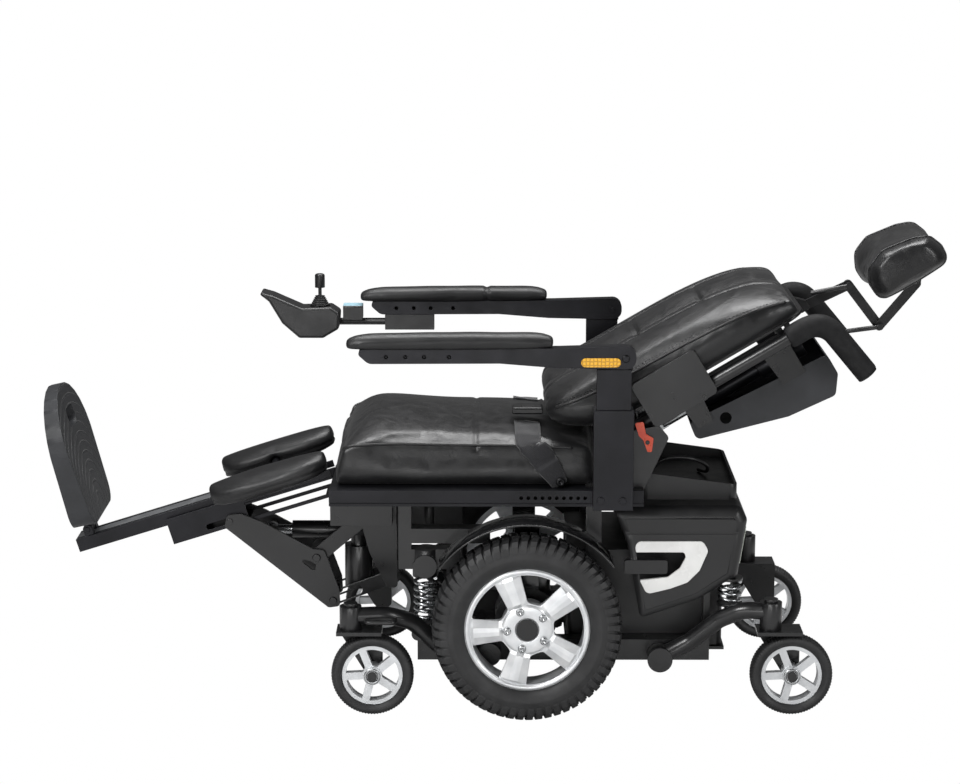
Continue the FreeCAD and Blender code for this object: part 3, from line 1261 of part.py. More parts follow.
# Under-seat block with the plates that carry the leg rest's pivots
def legrest_mount():
    block = box(BLOCK_X, (-BLOCK_Y, BLOCK_Y), BLOCK_Z)
    room = BLOCK_Y - BLOCK_WALL
    hollow = box((BLOCK_X[0] - 1, BLOCK_X[1] - BLOCK_WALL), (-room, room),
                 (BLOCK_Z[0] - 1, BLOCK_Z[1] - BLOCK_WALL))
    pieces = [block.cut(hollow)]
    down = plate(DOWN_PLATE, DOWN_Y, LEG_ROUND)
    hang = box((DOWN_PLATE[0][0], DOWN_PLATE[1][0]), DOWN_Y, (BLOCK_Z[0] - BLOCK_WALL * 2, BLOCK_Z[1] - 1))
    foot = pin(LINK_ROOT, (LEG_LINK_Y[0] - SIDE_GAP, DOWN_Y[1]), LEG_PIN_R)
    arm = link(LEG_PIVOT, ARM_ROOT, ARM_PLATE_Y, ARM_PLATE_W)
    root_x = (ARM_ROOT[0] - ARM_PLATE_W / 2, ARM_ROOT[0] + ARM_PLATE_W / 2)
    stand = box(root_x, ARM_PLATE_Y, (ARM_ROOT[1], BLOCK_Z[1] - 1))
    pivot = pin(LEG_PIVOT, (ARM_PLATE_Y[1] - 1, LEG_PLATE_Y[1] + BOLT_HEAD_H), LEG_PIN_R)
    x, z = LEG_ACT_ROOT
    lug = box((x - LEG_EYE_R, x + LEG_EYE_R), LEG_LUG_Y, (z - LEG_EYE_R, BLOCK_Z[1] - 1))
    for piece in (down, hang, foot, arm, stand, pivot, lug):
        pieces += pair(piece)
    pieces.append(pin(LEG_ACT_ROOT, (-LEG_LUG_Y[0] - 1, LEG_LUG_Y[0] + 1), LEG_PIN_R))
    save("legrest_mount", fuse(pieces))


# Hanger: a channel with side slots, its track running up to the knee and a thin stay below
def legrest_hanger():
    y = (-HANGER_Y, HANGER_Y)
    box_l = (HANGER_L[0], HANGER_BOX_L)
    channel = box(box_l, y, HANGER_N)
    inner = HANGER_Y - HANGER_WALL
    track_n = (HANGER_N[1] - TRACK_H, HANGER_N[1])
    stay_n = (HANGER_N[0], HANGER_N[0] + STAY_H)
    pieces = pair(box((HANGER_BOX_L - 1, HANGER_L[1]), (inner, HANGER_Y), track_n))
    pieces += pair(box((HANGER_BOX_L - 1, STAY_END), (inner, HANGER_Y), stay_n))
    brace = box((STAY_END - STAY_H, STAY_END), (-HANGER_Y, HANGER_Y), stay_n)
    lug_l = (CALF_BAR[0] - CALF_LUG_W / 2, CALF_BAR[0] + CALF_LUG_W / 2)
    lugs = pair(box(lug_l, (inner, HANGER_Y), (HANGER_N[1] - TRACK_H, CALF_BAR[1])))
    bar = pin(CALF_BAR, (-CALF_Y[0] - CALF_REACH, CALF_Y[0] + CALF_REACH), CALF_BAR_R)
    shelf_top = FOOT_RAIL_N[0] - SLIDE_GAP
    shelf = box(HANGER_L, (-inner - 1, inner + 1), (shelf_top - HANGER_WALL, shelf_top))
    hollow = box((box_l[0] - 1, box_l[1] + 1), (-inner, inner), (HANGER_N[0] + HANGER_WALL, HANGER_N[1] + 1))
    body = fuse([channel.cut(hollow)] + pieces + [brace, bar, shelf] + lugs)
    slot_ends = ((SLOT_L[0], SLOT_N), (SLOT_L[1], SLOT_N))
    slot = link(slot_ends[0], slot_ends[1], (-HANGER_Y - 1, HANGER_Y + 1), SLOT_R * 2)
    save("legrest_hanger", on_leg(body.cut(slot)))


# Tapered side plates with the pin that clamps them to the hanger's slots
def legrest_plates():
    blank = plate(LEG_PLATE_LINE, LEG_PLATE_Y, LEG_ROUND)
    window = plate(WINDOW_POINTS, widen(LEG_PLATE_Y, 1), LEG_ROUND / 2)
    bore = pin(LEG_PIVOT, widen(LEG_PLATE_Y, 1), LEG_PIN_R + RUN_FIT)
    side = cut(blank, [window, bore])
    stub = pin(LINK_PIN, (LEG_LINK_Y[0] - SIDE_GAP, LEG_PLATE_Y[1] + BOLT_HEAD_H), LEG_PIN_R)
    pieces = pair(fuse([side, stub]))
    reach = LEG_PLATE_Y[1] + BOLT_HEAD_H
    clamp = on_leg(pin((SLOT_L[1], SLOT_N), (-reach, reach), SLOT_R - SEAT_GAP))
    eye = pin(LEG_ACT_EYE, (-LEG_PLATE_Y[0] - 1, LEG_PLATE_Y[0] + 1), LEG_PIN_R)
    save("legrest_plates", fuse(pieces + [clamp, eye]))


# Slotted push link between the mount's lower pins and the plates
def legrest_link():
    bar = link(LINK_ROOT, LINK_PIN, LEG_LINK_Y, LEG_LINK_W)
    run = V(LINK_ROOT[0] - LINK_PIN[0], 0, LINK_ROOT[1] - LINK_PIN[1])
    run.normalize()
    slot_end = (LINK_PIN[0] + run.x * LINK_SLOT, LINK_PIN[1] + run.z * LINK_SLOT)
    slot = link(LINK_PIN, slot_end, widen(LEG_LINK_Y, 1), (LEG_PIN_R + LINK_ROOM) * 2)
    bore = pin(LINK_ROOT, widen(LEG_LINK_Y, 1), LEG_PIN_R + RUN_FIT)
    save("legrest_link", pair(cut(bar, [slot, bore])))


# Telescoping rail with top grooves and the footplate's hinge lugs
def legrest_rail():
    bar = box(FOOT_RAIL_L, (-FOOT_RAIL_Y, FOOT_RAIL_Y), FOOT_RAIL_N)
    top = FOOT_RAIL_N[1]
    groove_y = (FOOT_RAIL_GROOVE_Y - FOOT_RAIL_GROOVE / 2, FOOT_RAIL_GROOVE_Y + FOOT_RAIL_GROOVE / 2)
    grooves = pair(box(widen(FOOT_RAIL_L, 1), groove_y, (top - FOOT_RAIL_GROOVE, top + 1)))
    x, z = FOOT_HINGE
    ear_y = (FOOT_LUG_Y + SIDE_GAP / 2, FOOT_KNUCKLE_Y)
    stand = box((x - FOOT_HINGE_R, x + FOOT_HINGE_R), ear_y, (top - FOOT_RAIL_GROOVE * 2, z))
    knuckle = fuse([pin(FOOT_HINGE, ear_y, FOOT_HINGE_R), stand])
    axle = pin(FOOT_HINGE, (-FOOT_KNUCKLE_Y - BOLT_HEAD_H, FOOT_KNUCKLE_Y + BOLT_HEAD_H), FOOT_PIN_R)
    save("legrest_rail", on_leg(fuse([cut(bar, grooves)] + pair(knuckle) + [axle])))


# One-piece moulded footplate: arched toe, tapered wall and hand slot, with its hinge lug
def footplate():
    low, high = FOOT_N
    base = low + FOOT_LIFT
    spring_line = high - FOOT_ARCH
    corners = [(-FOOT_HEEL_HALF, base), (FOOT_HEEL_HALF, base)]
    for i in range(FOOT_ARCH_STEPS + 1):
        angle = math.pi * i / FOOT_ARCH_STEPS
        corners.append((FOOT_HALF * math.cos(angle), spring_line + FOOT_ARCH * math.sin(angle)))
    blank = plate(corners, (-FOOT_BASE_T, 0), FOOT_ROUND)
    blank.rotate(V(0, 0, 0), V(0, 0, 1), 90)
    wedge_line = ((FOOT_TOE_T, high + 1), (FOOT_BASE_T + 1, high + 1), (FOOT_BASE_T + 1, base - 1),
                  (FOOT_BASE_T, base))
    wedge = plate(wedge_line, (-FOOT_HALF * 2, FOOT_HALF * 2))
    grip_half = FOOT_GRIP[0] / 2
    grip_low = FOOT_GRIP_N - FOOT_GRIP[1] / 2
    grip_high = FOOT_GRIP_N + FOOT_GRIP[1] / 2
    grip_line = ((-grip_half, grip_low), (grip_half, grip_low), (grip_half, grip_high),
                 (-grip_half, grip_high))
    slot = plate(grip_line, (-FOOT_BASE_T * 2, FOOT_BASE_T), FOOT_GRIP_ROUND)
    slot.rotate(V(0, 0, 0), V(0, 0, 1), 90)
    slab = cut(blank, [wedge, slot])
    slab.translate(V(-FOOT_BASE_T / 2, 0, -low))
    slab.rotate(V(0, 0, 0), V(0, 1, 0), FOOT_LEAN)
    slab.translate(V(FOOT_HINGE[0] + FOOT_SET, 0, low))
    lug_y = (-FOOT_LUG_Y, FOOT_LUG_Y)
    x, z = FOOT_HINGE
    stand = box((x - FOOT_HINGE_R, x + FOOT_HINGE_R), lug_y, (z, base + FOOT_LIFT))
    lug = fuse([pin(FOOT_HINGE, lug_y, FOOT_HINGE_R), stand])
    bore = pin(FOOT_HINGE, widen(lug_y, 1), FOOT_PIN_R + RUN_FIT)
    save("footplate", on_leg(fuse([slab, lug]).cut(bore)))


# Oval calf pads with drawn-in sides, carried on the hanger's cross bar
def calf_pads():
    middle = (CALF_Y[0] + CALF_Y[1]) / 2
    length = CALF_L[1] - CALF_L[0]
    wires = []
    for share, size in CALF_STATIONS:
        l = CALF_L[0] + length * share
        half = (CALF_Y[1] - CALF_Y[0]) / 2 * size
        lift = CALF_RISE * (1 - size)

        def at(y, n):
            return V(l, middle + y, n)

        thick = (CALF_N[1] - CALF_N[0]) * (CALF_END_T + (1 - CALF_END_T) * size)
        seam = CALF_N[0] + thick * PAD_SEAM + lift
        crown = CALF_N[0] + thick + lift
        draw = CALF_DRAW * size
        wires.append(cushion_section(at, half - draw, half, half - draw / 2, CALF_N[0] + lift, seam,
                                     crown, None))
    pad = Part.makeLoft(wires, True, False)
    bar = pin(CALF_BAR, (0, CALF_Y[0] + CALF_REACH + SEAT_GAP), CALF_BAR_R + SEAT_GAP)
    pad = pad.cut(bar)
    save("calf_pads", [on_leg(p) for p in pair(pad)])


# Leg actuator: gearbox, hanging motor can and tube on the mount's pin, with a sliding rod and eye
def leg_actuator():
    x, z = LEG_ACT_ROOT
    head = pin(LEG_ACT_ROOT, (-LEG_LUG_Y[0] + SIDE_GAP, LEG_LUG_Y[0] - SIDE_GAP), LEG_EYE_R)
    barrel = rod((x, 0, z), (LEG_BODY_END, 0, z), LEG_ACT_R)
    neck_x = x - LEG_ACT_R * 2
    lug_room = (x - LEG_EYE_R - SIDE_GAP * 8, x + LEG_EYE_R * 2)
    barrel = cut(barrel, pair(box(lug_room, (LEG_LUG_Y[0] - SIDE_GAP, BLOCK_Y), (0, BLOCK_Z[1]))))
    neck = rod((neck_x, 0, z), (neck_x, 0, CAN_Z[1] - 1), CAN_NECK_R)
    can = rod((neck_x, 0, CAN_Z[0]), (neck_x, 0, CAN_Z[1]), CAN_R)
    body = fuse([head, barrel, neck, can])
    tools = [pin(LEG_ACT_ROOT, (-BLOCK_Y, BLOCK_Y), LEG_PIN_R + RUN_FIT),
             rod((x - LEG_EYE_R * 2, 0, z), (LEG_BODY_END - 1, 0, z), LEG_ROD_R + RUN_FIT)]
    save("leg_actuator_body", cut(body, tools))
    eye_y = (-LEG_EYE_Y, LEG_EYE_Y)
    stem = rod((x - LEG_EYE_R * 3, 0, z), (LEG_ACT_EYE[0], 0, z), LEG_ROD_R)
    eye = pin((LEG_ACT_EYE[0], z), eye_y, LEG_EYE_R)
    bore = pin((LEG_ACT_EYE[0], z), (-LEG_EYE_R, LEG_EYE_R), LEG_PIN_R + EYE_ROOM)
    save("leg_actuator_rod", fuse([stem, eye]).cut(bore))


# Joystick on the right armrest: clamp with its arm and switch box, pod, gimbal boot and stick
def joystick():
    y = ARM_CENTRE_Y
    half = BEAM_W / 2
    clamp = box(CLAMP_X, (y - half, y + half), (CLAMP_Z, BEAM_LINE[1][1] - SEAT_GAP))
    arm_end = (POD_LINE[5][0] - POD_ROUND, y, CLAMP_ARM_Z)
    arm = rod((CLAMP_X[0] + 1, y, CLAMP_ARM_Z), arm_end, CLAMP_ARM_R)
    case = box(BOX_X, (y - BOX_W / 2, y + BOX_W / 2), (CLAMP_ARM_Z + CLAMP_ARM_R - 1, BOX_Z))
    lengthwise = edges_along(case, V(1, 0, 0))
    lengthwise = [e for e in lengthwise if e.CenterOfMass.z > CLAMP_ARM_Z + CLAMP_ARM_R]
    case = case.makeFillet(POD_ROUND / 2, lengthwise)
    save("joystick_mount", fuse([clamp, arm, case]))
    pod = plate(POD_LINE, (y - POD_W / 2, y + POD_W / 2), POD_ROUND)
    rims = [e for e in pod.Edges if abs(abs(e.CenterOfMass.y - y) - POD_W / 2) < NEAR]
    pod = pod.makeFillet(POD_EDGE, rims)
    well = rod((STICK_X, y, STICK_PIVOT_Z - WELL_DEPTH), (STICK_X, y, STICK_PIVOT_Z + WELL_DEPTH * 2), WELL_R)
    socket = rod((CLAMP_X[0], y, CLAMP_ARM_Z), arm_end, CLAMP_ARM_R + SEAT_GAP)
    post_z = (STICK_PIVOT_Z - WELL_DEPTH - 1, STICK_PIVOT_Z - STICK_BALL_R - RUN_FIT)
    post = rod((STICK_X, y, post_z[0]), (STICK_X, y, post_z[1]), STICK_R)
    pod = fuse([cut(pod, [well, socket]), post])
    save("joystick_pod", pod)
    rings = []
    for i in range(BOOT_RIBS):
        share = i / BOOT_RIBS
        radius = BOOT_R[0] + (BOOT_R[1] - BOOT_R[0]) * share
        step = BOOT_H / BOOT_RIBS
        low = STICK_PIVOT_Z + step * i
        rings.append(Part.makeCone(radius * BOOT_FOLD, radius, step / 2, V(STICK_X, y, low)))
        rings.append(Part.makeCone(radius, radius * BOOT_FOLD, step / 2, V(STICK_X, y, low + step / 2)))
    ball_r = STICK_BALL_R + RUN_FIT
    cone = Part.makeCone(ball_r, ball_r + BOOT_H * BOOT_FLARE, BOOT_H + 2, V(STICK_X, y, STICK_PIVOT_Z - 1))
    save("joystick_boot", fuse(rings).cut(cone))
    shaft = rod((STICK_X, y, STICK_PIVOT_Z), (STICK_X, y, STICK_TOP - KNOB_R), STICK_R)
    ball = Part.makeSphere(STICK_BALL_R, V(STICK_X, y, STICK_PIVOT_Z))
    knob = rod((STICK_X, y, STICK_TOP - KNOB_H), (STICK_X, y, STICK_TOP), KNOB_R)
    knob = knob.makeFillet(KNOB_ROUND, [e for e in knob.Edges if e.CenterOfMass.z > STICK_TOP - 1])
    save("joystick_stick", fuse([shaft, knob, ball]))


def build():
    for name, side in SIDES:
        drive_wheel(name, side)
        caster("front", name, FRONT_CASTER, FRONT_HEAD_H, side)
        caster("rear", name, REAR_CASTER, REAR_HEAD_H, side)
        swing_arm("front", name, side)
        swing_arm("rear", name, side)
        springs(name, side)
        armrest(name, side)
    base_frame()
    battery_box()
    drive_motors()
    mudguards()
    base_shroud()
    shroud_trim()
    seat_frame()
    seat_cushion()
    lap_belt()
    recline_brackets()
    recline_lever()
    armrest_sleeves()
    back_frame()
    back_shell()
    back_cushion()
    back_cover()
    back_actuator()
    headrest()
    legrest_mount()
    legrest_hanger()
    legrest_plates()
    legrest_link()
    legrest_rail()
    footplate()
    calf_pads()
    leg_actuator()
    joystick()
    os.makedirs("parts", exist_ok=True)
    for name, shape in SOLIDS.items():
        shape.exportStep("parts/" + name + ".step")


build()
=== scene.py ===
import math

import bmesh
import bpy
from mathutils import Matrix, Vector
from mathutils.bvhtree import BVHTree


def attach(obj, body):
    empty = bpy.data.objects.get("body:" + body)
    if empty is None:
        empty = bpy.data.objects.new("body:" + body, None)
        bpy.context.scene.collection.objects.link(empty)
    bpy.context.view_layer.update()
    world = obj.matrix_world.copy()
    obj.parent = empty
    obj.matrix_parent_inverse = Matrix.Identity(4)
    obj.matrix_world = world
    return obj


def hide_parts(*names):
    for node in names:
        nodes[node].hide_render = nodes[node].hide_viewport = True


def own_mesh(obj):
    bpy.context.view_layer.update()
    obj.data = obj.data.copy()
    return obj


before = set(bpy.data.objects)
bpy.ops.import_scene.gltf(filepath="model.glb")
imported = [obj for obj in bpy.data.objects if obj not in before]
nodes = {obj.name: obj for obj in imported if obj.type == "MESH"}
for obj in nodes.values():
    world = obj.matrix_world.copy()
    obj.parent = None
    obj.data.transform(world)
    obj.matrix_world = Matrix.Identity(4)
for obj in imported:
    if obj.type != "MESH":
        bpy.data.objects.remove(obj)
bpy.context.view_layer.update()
scene = bpy.context.scene
print("frame loaded:", len(nodes), "nodes")

mm = 0.001
axleX = 67.04  # the drive axle's place along X, mm; lengths below are given from it


def at(x, y, z):
    return Vector(((x + axleX) * mm, y * mm, z * mm))


def linear(hexColour):  # sRGB hex to a linear colour
    channels = [int(hexColour[i:i + 2], 16) / 255 for i in (0, 2, 4)]
    return tuple(c / 12.92 if c <= 0.04045 else ((c + 0.055) / 1.055) ** 2.4 for c in channels) + (1.0,)


def addNode(mat, kind, sets=None, links=None):
    node = mat.node_tree.nodes.new(kind)
    for key, value in (sets or {}).items():
        if key in node.inputs:
            node.inputs[key].default_value = value
        else:
            setattr(node, key, value)
    for key, source in (links or {}).items():
        mat.node_tree.links.new(source, node.inputs[key])
    return node


def newMaterial(name, sets):
    mat = bpy.data.materials.new(name)
    mat.use_nodes = True
    shader = mat.node_tree.nodes["Principled BSDF"]
    for key, value in sets.items():
        shader.inputs[key].default_value = value
    place = addNode(mat, "ShaderNodeTexCoord")
    return mat, shader, place.outputs["Object"]


def perMetre(sizeMm):  # texture scale that repeats once per this many millimetres
    return 1000.0 / sizeMm


def addNoise(mat, place, sizeMm, detail):
    return addNode(mat, "ShaderNodeTexNoise", {"Scale": perMetre(sizeMm), "Detail": detail},
                   {"Vector": place})


# Dark and light tone by a value, between two places on its ramp
def addTone(mat, value, look, low=0.0, high=1.0):
    tone = addNode(mat, "ShaderNodeValToRGB", {}, {"Fac": value})
    for element, place, colour in zip(tone.color_ramp.elements, (low, high), (look["dark"], look["light"])):
        element.position = place
        element.color = linear(colour)
    return tone


def addRough(mat, value, low, high):  # roughness drifting with the middle of a noise
    return addNode(mat, "ShaderNodeMapRange",
                   {"From Min": 0.3, "From Max": 0.7, "To Min": low, "To Max": high}, {"Value": value})


def addBump(mat, height, strength, deepMm, under=None):
    links = {"Height": height}
    if under:
        links["Normal"] = under.outputs["Normal"]
    return addNode(mat, "ShaderNodeBump", {"Strength": strength, "Distance": deepMm * mm}, links)


def joinShader(mat, shader, tone, relief, rough=None):
    links = mat.node_tree.links
    links.new(tone.outputs["Color"], shader.inputs["Base Color"])
    links.new(relief.outputs["Normal"], shader.inputs["Normal"])
    if rough:
        links.new(rough.outputs["Result"], shader.inputs["Roughness"])
    return mat


# Mottled finish shared by the plain moulded, coated and machined surfaces: two close tones in soft
# patches, a roughness that drifts a little, and a fine relief
def mottled(name, look):
    mat, shader, place = newMaterial(name, look["sets"])
    patch = addNoise(mat, place, look["patchMm"], 4.0)
    tone = addTone(mat, patch.outputs["Fac"], look, 0.35, 0.68)
    wear = addNoise(mat, place, look["wearMm"], 6.0)
    rough = addRough(mat, wear.outputs["Fac"], *look["rough"])
    stretch = addNode(mat, "ShaderNodeMapping", {"Scale": look.get("stretch", (1.0, 1.0, 1.0))},
                      {"Vector": place})
    grit = addNoise(mat, stretch.outputs["Vector"], look["gritMm"], 3.0)
    relief = addBump(mat, grit.outputs["Fac"], look["relief"], look["reliefMm"])
    return joinShader(mat, shader, tone, relief, rough)


# Black powder coat on welded steel: satin, with a faint orange-peel relief
powderCoat = mottled("powderCoatedSteel", {
    "sets": {"IOR": 1.5, "Coat Weight": 0.3, "Coat Roughness": 0.18}, "dark": "131314", "light": "1b1b1c",
    "patchMm": 60, "rough": (0.27, 0.4), "wearMm": 25, "gritMm": 2.2, "relief": 0.25, "reliefMm": 0.35})
# Black anodised extruded aluminium: drawn lines along the length, a soft metallic sheen
anodised = mottled("blackAnodisedExtrusion", {
    "sets": {"Metallic": 0.55}, "dark": "17171a", "light": "212125", "patchMm": 90, "rough": (0.3, 0.42),
    "wearMm": 30, "gritMm": 1.6, "relief": 0.12, "reliefMm": 0.2, "stretch": (0.06, 1.0, 1.0)})
# Silver-lacquered cast alloy: bright, slightly grainy, with a clear coat
castAlloy = mottled("lacqueredCastAlloy", {
    "sets": {"Metallic": 0.7, "Coat Weight": 0.4, "Coat Roughness": 0.12},
    "dark": "d4d6d8", "light": "e8eaec", "patchMm": 40,
    "rough": (0.34, 0.44), "wearMm": 18, "gritMm": 1.2, "relief": 0.08, "reliefMm": 0.15})
# Machined and lacquered alloy: bright satin with broad soft reflections
machinedAlloy = mottled("machinedLacqueredAlloy", {
    "sets": {"Metallic": 0.75, "Coat Weight": 0.4, "Coat Roughness": 0.12},
    "dark": "dfe1e3", "light": "f2f3f4", "patchMm": 30,
    "rough": (0.3, 0.4), "wearMm": 14, "gritMm": 1.6, "relief": 0.03, "reliefMm": 0.1})
# Zinc-plated steel rods, springs and bolts: bright, with small sharp highlights
zincPlate = mottled("zincPlatedSteel", {
    "sets": {"Metallic": 1.0}, "dark": "a7a9ab", "light": "c6c8c9", "patchMm": 12, "rough": (0.22, 0.34),
    "wearMm": 8, "gritMm": 0.8, "relief": 0.06, "reliefMm": 0.1})
# Blackened bolts: dark oxide with rubbed patches
blackOxide = mottled("blackOxideSteel", {
    "sets": {"Metallic": 0.7}, "dark": "1d1d1e", "light": "2d2d2f", "patchMm": 8, "rough": (0.3, 0.45),
    "wearMm": 6, "gritMm": 0.8, "relief": 0.08, "reliefMm": 0.1})
# Carbon-black tyre rubber: dull, greyer in patches, so the blocks read
tyreRubber = mottled("vulcanisedTyreRubber", {
    "sets": {"IOR": 1.52, "Specular IOR Level": 0.5}, "dark": "19191a", "light": "282829", "patchMm": 45,
    "rough": (0.48, 0.64), "wearMm": 20, "gritMm": 1.4, "relief": 0.3, "reliefMm": 0.3})
# Moulded ABS covers: satin black with a spark-eroded texture
satinAbs = mottled("texturedAbsMoulding", {
    "sets": {"IOR": 1.54}, "dark": "151516", "light": "1c1c1d", "patchMm": 80, "rough": (0.34, 0.46),
    "wearMm": 30, "gritMm": 1.1, "relief": 0.16, "reliefMm": 0.15})
# Polished ABS: a mirror-like black skin with a little haze
glossAbs = mottled("polishedAbsMoulding", {
    "sets": {"IOR": 1.54, "Coat Weight": 0.5, "Coat Roughness": 0.05}, "dark": "101011", "light": "161617",
    "patchMm": 120, "rough": (0.12, 0.2), "wearMm": 40, "gritMm": 6.0, "relief": 0.04, "reliefMm": 0.2})
# White ABS trim: glossy, very slightly warm
whiteAbs = mottled("whiteAbsMoulding", {
    "sets": {"IOR": 1.54, "Coat Weight": 0.3, "Coat Roughness": 0.1}, "dark": "dcdcda", "light": "ebebe9",
    "patchMm": 60, "rough": (0.22, 0.3), "wearMm": 25, "gritMm": 3.0, "relief": 0.03, "reliefMm": 0.1})
# Glass-filled polypropylene: dark grey, dull, with a coarse moulded grain
greyPolypropylene = mottled("grainedPolypropylene", {
    "sets": {"IOR": 1.49, "Specular IOR Level": 0.4}, "dark": "2a2b2d", "light": "343538", "patchMm": 70,
    "rough": (0.48, 0.6), "wearMm": 25, "gritMm": 1.0, "relief": 0.3, "reliefMm": 0.2})
# Self-skinning polyurethane foam: black, softly shining, pebbled skin
foamSkin = mottled("selfSkinFoam", {
    "sets": {"IOR": 1.5, "Specular IOR Level": 0.45}, "dark": "141415", "light": "1c1c1d", "patchMm": 50,
    "rough": (0.4, 0.52), "wearMm": 20, "gritMm": 1.3, "relief": 0.25, "reliefMm": 0.25})
# Closed-cell grip foam: dull, porous
gripFoam = mottled("closedCellGripFoam", {
    "sets": {"IOR": 1.45, "Specular IOR Level": 0.3}, "dark": "141415", "light": "1e1e1f", "patchMm": 20,
    "rough": (0.6, 0.75), "wearMm": 12, "gritMm": 1.0, "relief": 0.5, "reliefMm": 0.4})
# Orange-red enamelled lever: stoved paint, glossy
orangeEnamel = mottled("stovedOrangeEnamel", {
    "sets": {"IOR": 1.5, "Coat Weight": 0.5, "Coat Roughness": 0.08}, "dark": "d8401c", "light": "e5522a",
    "patchMm": 15, "rough": (0.25, 0.34), "wearMm": 8, "gritMm": 2.0, "relief": 0.05, "reliefMm": 0.15})
# Opal polycarbonate lamp lens: pale, lit softly through
opalLens = mottled("opalPolycarbonateLens", {
    "sets": {"IOR": 1.58, "Transmission Weight": 0.1}, "dark": "c9d2c4", "light": "e6ebdf", "patchMm": 20,
    "rough": (0.2, 0.3), "wearMm": 8, "gritMm": 4.0, "relief": 0.06, "reliefMm": 0.2})
# Pale blue moulded key on the switch box
blueKey = mottled("paleBlueAbsKey", {
    "sets": {"IOR": 1.54}, "dark": "8fb4c4", "light": "a9cad6", "patchMm": 10, "rough": (0.3, 0.4),
    "wearMm": 6, "gritMm": 1.0, "relief": 0.08, "reliefMm": 0.1})
# Silver-grey anodised scale strip on the leg rest's rail
scaleStrip = mottled("clearAnodisedStrip", {
    "sets": {"Metallic": 0.8}, "dark": "8d8f92", "light": "a3a5a8", "patchMm": 30, "rough": (0.35, 0.45),
    "wearMm": 10, "gritMm": 1.2, "relief": 0.08, "reliefMm": 0.1, "stretch": (0.1, 1.0, 1.0)})
print("plain materials made")


# Black coated leather: small pebbles, long soft creases and a drifting shine
def grainedLeather(name, look):
    mat, shader, place = newMaterial(name, {"IOR": 1.5, "Specular IOR Level": 0.5, "Sheen Weight": 0.05})
    pebbles = addNode(mat, "ShaderNodeTexVoronoi",
                      {"Scale": perMetre(look["pebbleMm"]), "Randomness": 1.0}, {"Vector": place})
    warp = addNoise(mat, place, look["creaseMm"], 5.0)
    warp.inputs["Distortion"].default_value = look["wander"]
    tone = addTone(mat, warp.outputs["Fac"], look)
    rough = addRough(mat, warp.outputs["Fac"], *look["rough"])
    fine = addBump(mat, pebbles.outputs["Distance"], 0.35, look["pebbleDeepMm"])
    both = addBump(mat, warp.outputs["Fac"], 0.5, look["creaseDeepMm"], fine)
    return joinShader(mat, shader, tone, both, rough)


leather = grainedLeather("blackGrainedLeather", {
    "pebbleMm": 1.8, "pebbleDeepMm": 0.35, "creaseMm": 38, "creaseDeepMm": 1.6, "wander": 1.2,
    "dark": "111112", "light": "1a1a1b", "rough": (0.3, 0.46)})
# Bonded sewing thread: twisted, slightly lustrous
thread = mottled("bondedNylonThread", {
    "sets": {"IOR": 1.53, "Sheen Weight": 0.2}, "dark": "202021", "light": "2f2f30", "patchMm": 3,
    "rough": (0.45, 0.6), "wearMm": 2, "gritMm": 0.6, "relief": 0.4, "reliefMm": 0.15})


# Woven polyester webbing: ribs across the strap and a fuzzy nap; the thread is drawn coarse enough to show
def wovenWebbing(name, look):
    mat, shader, place = newMaterial(name, {"IOR": 1.5, "Specular IOR Level": 0.25, "Sheen Weight": 0.4,
                                            "Roughness": 0.85})
    ribs = addNode(mat, "ShaderNodeTexWave",
                   {"wave_type": "BANDS", "bands_direction": "DIAGONAL", "Distortion": 1.5, "Detail": 2.0,
                    "Scale": perMetre(look["ribMm"]) / look["bandsPerScale"]}, {"Vector": place})
    nap = addNoise(mat, place, look["napMm"], 6.0)
    tone = addTone(mat, nap.outputs["Fac"], look, 0.35, 0.7)
    weave = addBump(mat, ribs.outputs["Fac"], 0.6, look["ribDeepMm"])
    fuzz = addBump(mat, nap.outputs["Fac"], 0.5, look["napDeepMm"], weave)
    return joinShader(mat, shader, tone, fuzz)


webbing = wovenWebbing("wovenPolyesterWebbing", {
    "ribMm": 2.4, "ribDeepMm": 0.5, "napMm": 1.5, "napDeepMm": 0.4, "bandsPerScale": 3.2,
    "dark": "18181a", "light": "2c2c2f"})


# Moulded acrylic reflector: amber with a honeycomb of small prisms, the amber painted darker along each
# prism's edge as painted shade in the grooves between them
def prismReflector(name, look):
    mat, shader, place = newMaterial(name, {"IOR": 1.49, "Coat Weight": 0.6, "Coat Roughness": 0.05,
                                            "Roughness": 0.25})
    cells = addNode(mat, "ShaderNodeTexVoronoi",
                    {"feature": "DISTANCE_TO_EDGE", "Scale": perMetre(look["cellMm"]), "Randomness": 0.15},
                    {"Vector": place})
    # painted shade: the amber darkens towards each cell's edge, where the bump below sinks the grooves
    tone = addTone(mat, cells.outputs["Distance"], look, 0.0, 0.25)
    facets = addBump(mat, cells.outputs["Distance"], 0.7, look["facetMm"])
    return joinShader(mat, shader, tone, facets)


amberPrism = prismReflector("amberAcrylicPrism", {
    "cellMm": 7.0, "facetMm": 0.6, "dark": "b07a0c", "light": "efb41f"})
print("patterned materials made")


# A CAD node takes a finish, or several by where each face lies
def coat(node, finish, where=None):
    mesh = nodes[node].data
    if where is None:
        mesh.materials.clear()
        mesh.materials.append(finish)
        return
    mesh.materials.append(finish)
    slot = len(mesh.materials) - 1
    for face in mesh.polygons:
        if where(face.center / mm - Vector((axleX, 0, 0)), face.normal):
            face.material_index = slot


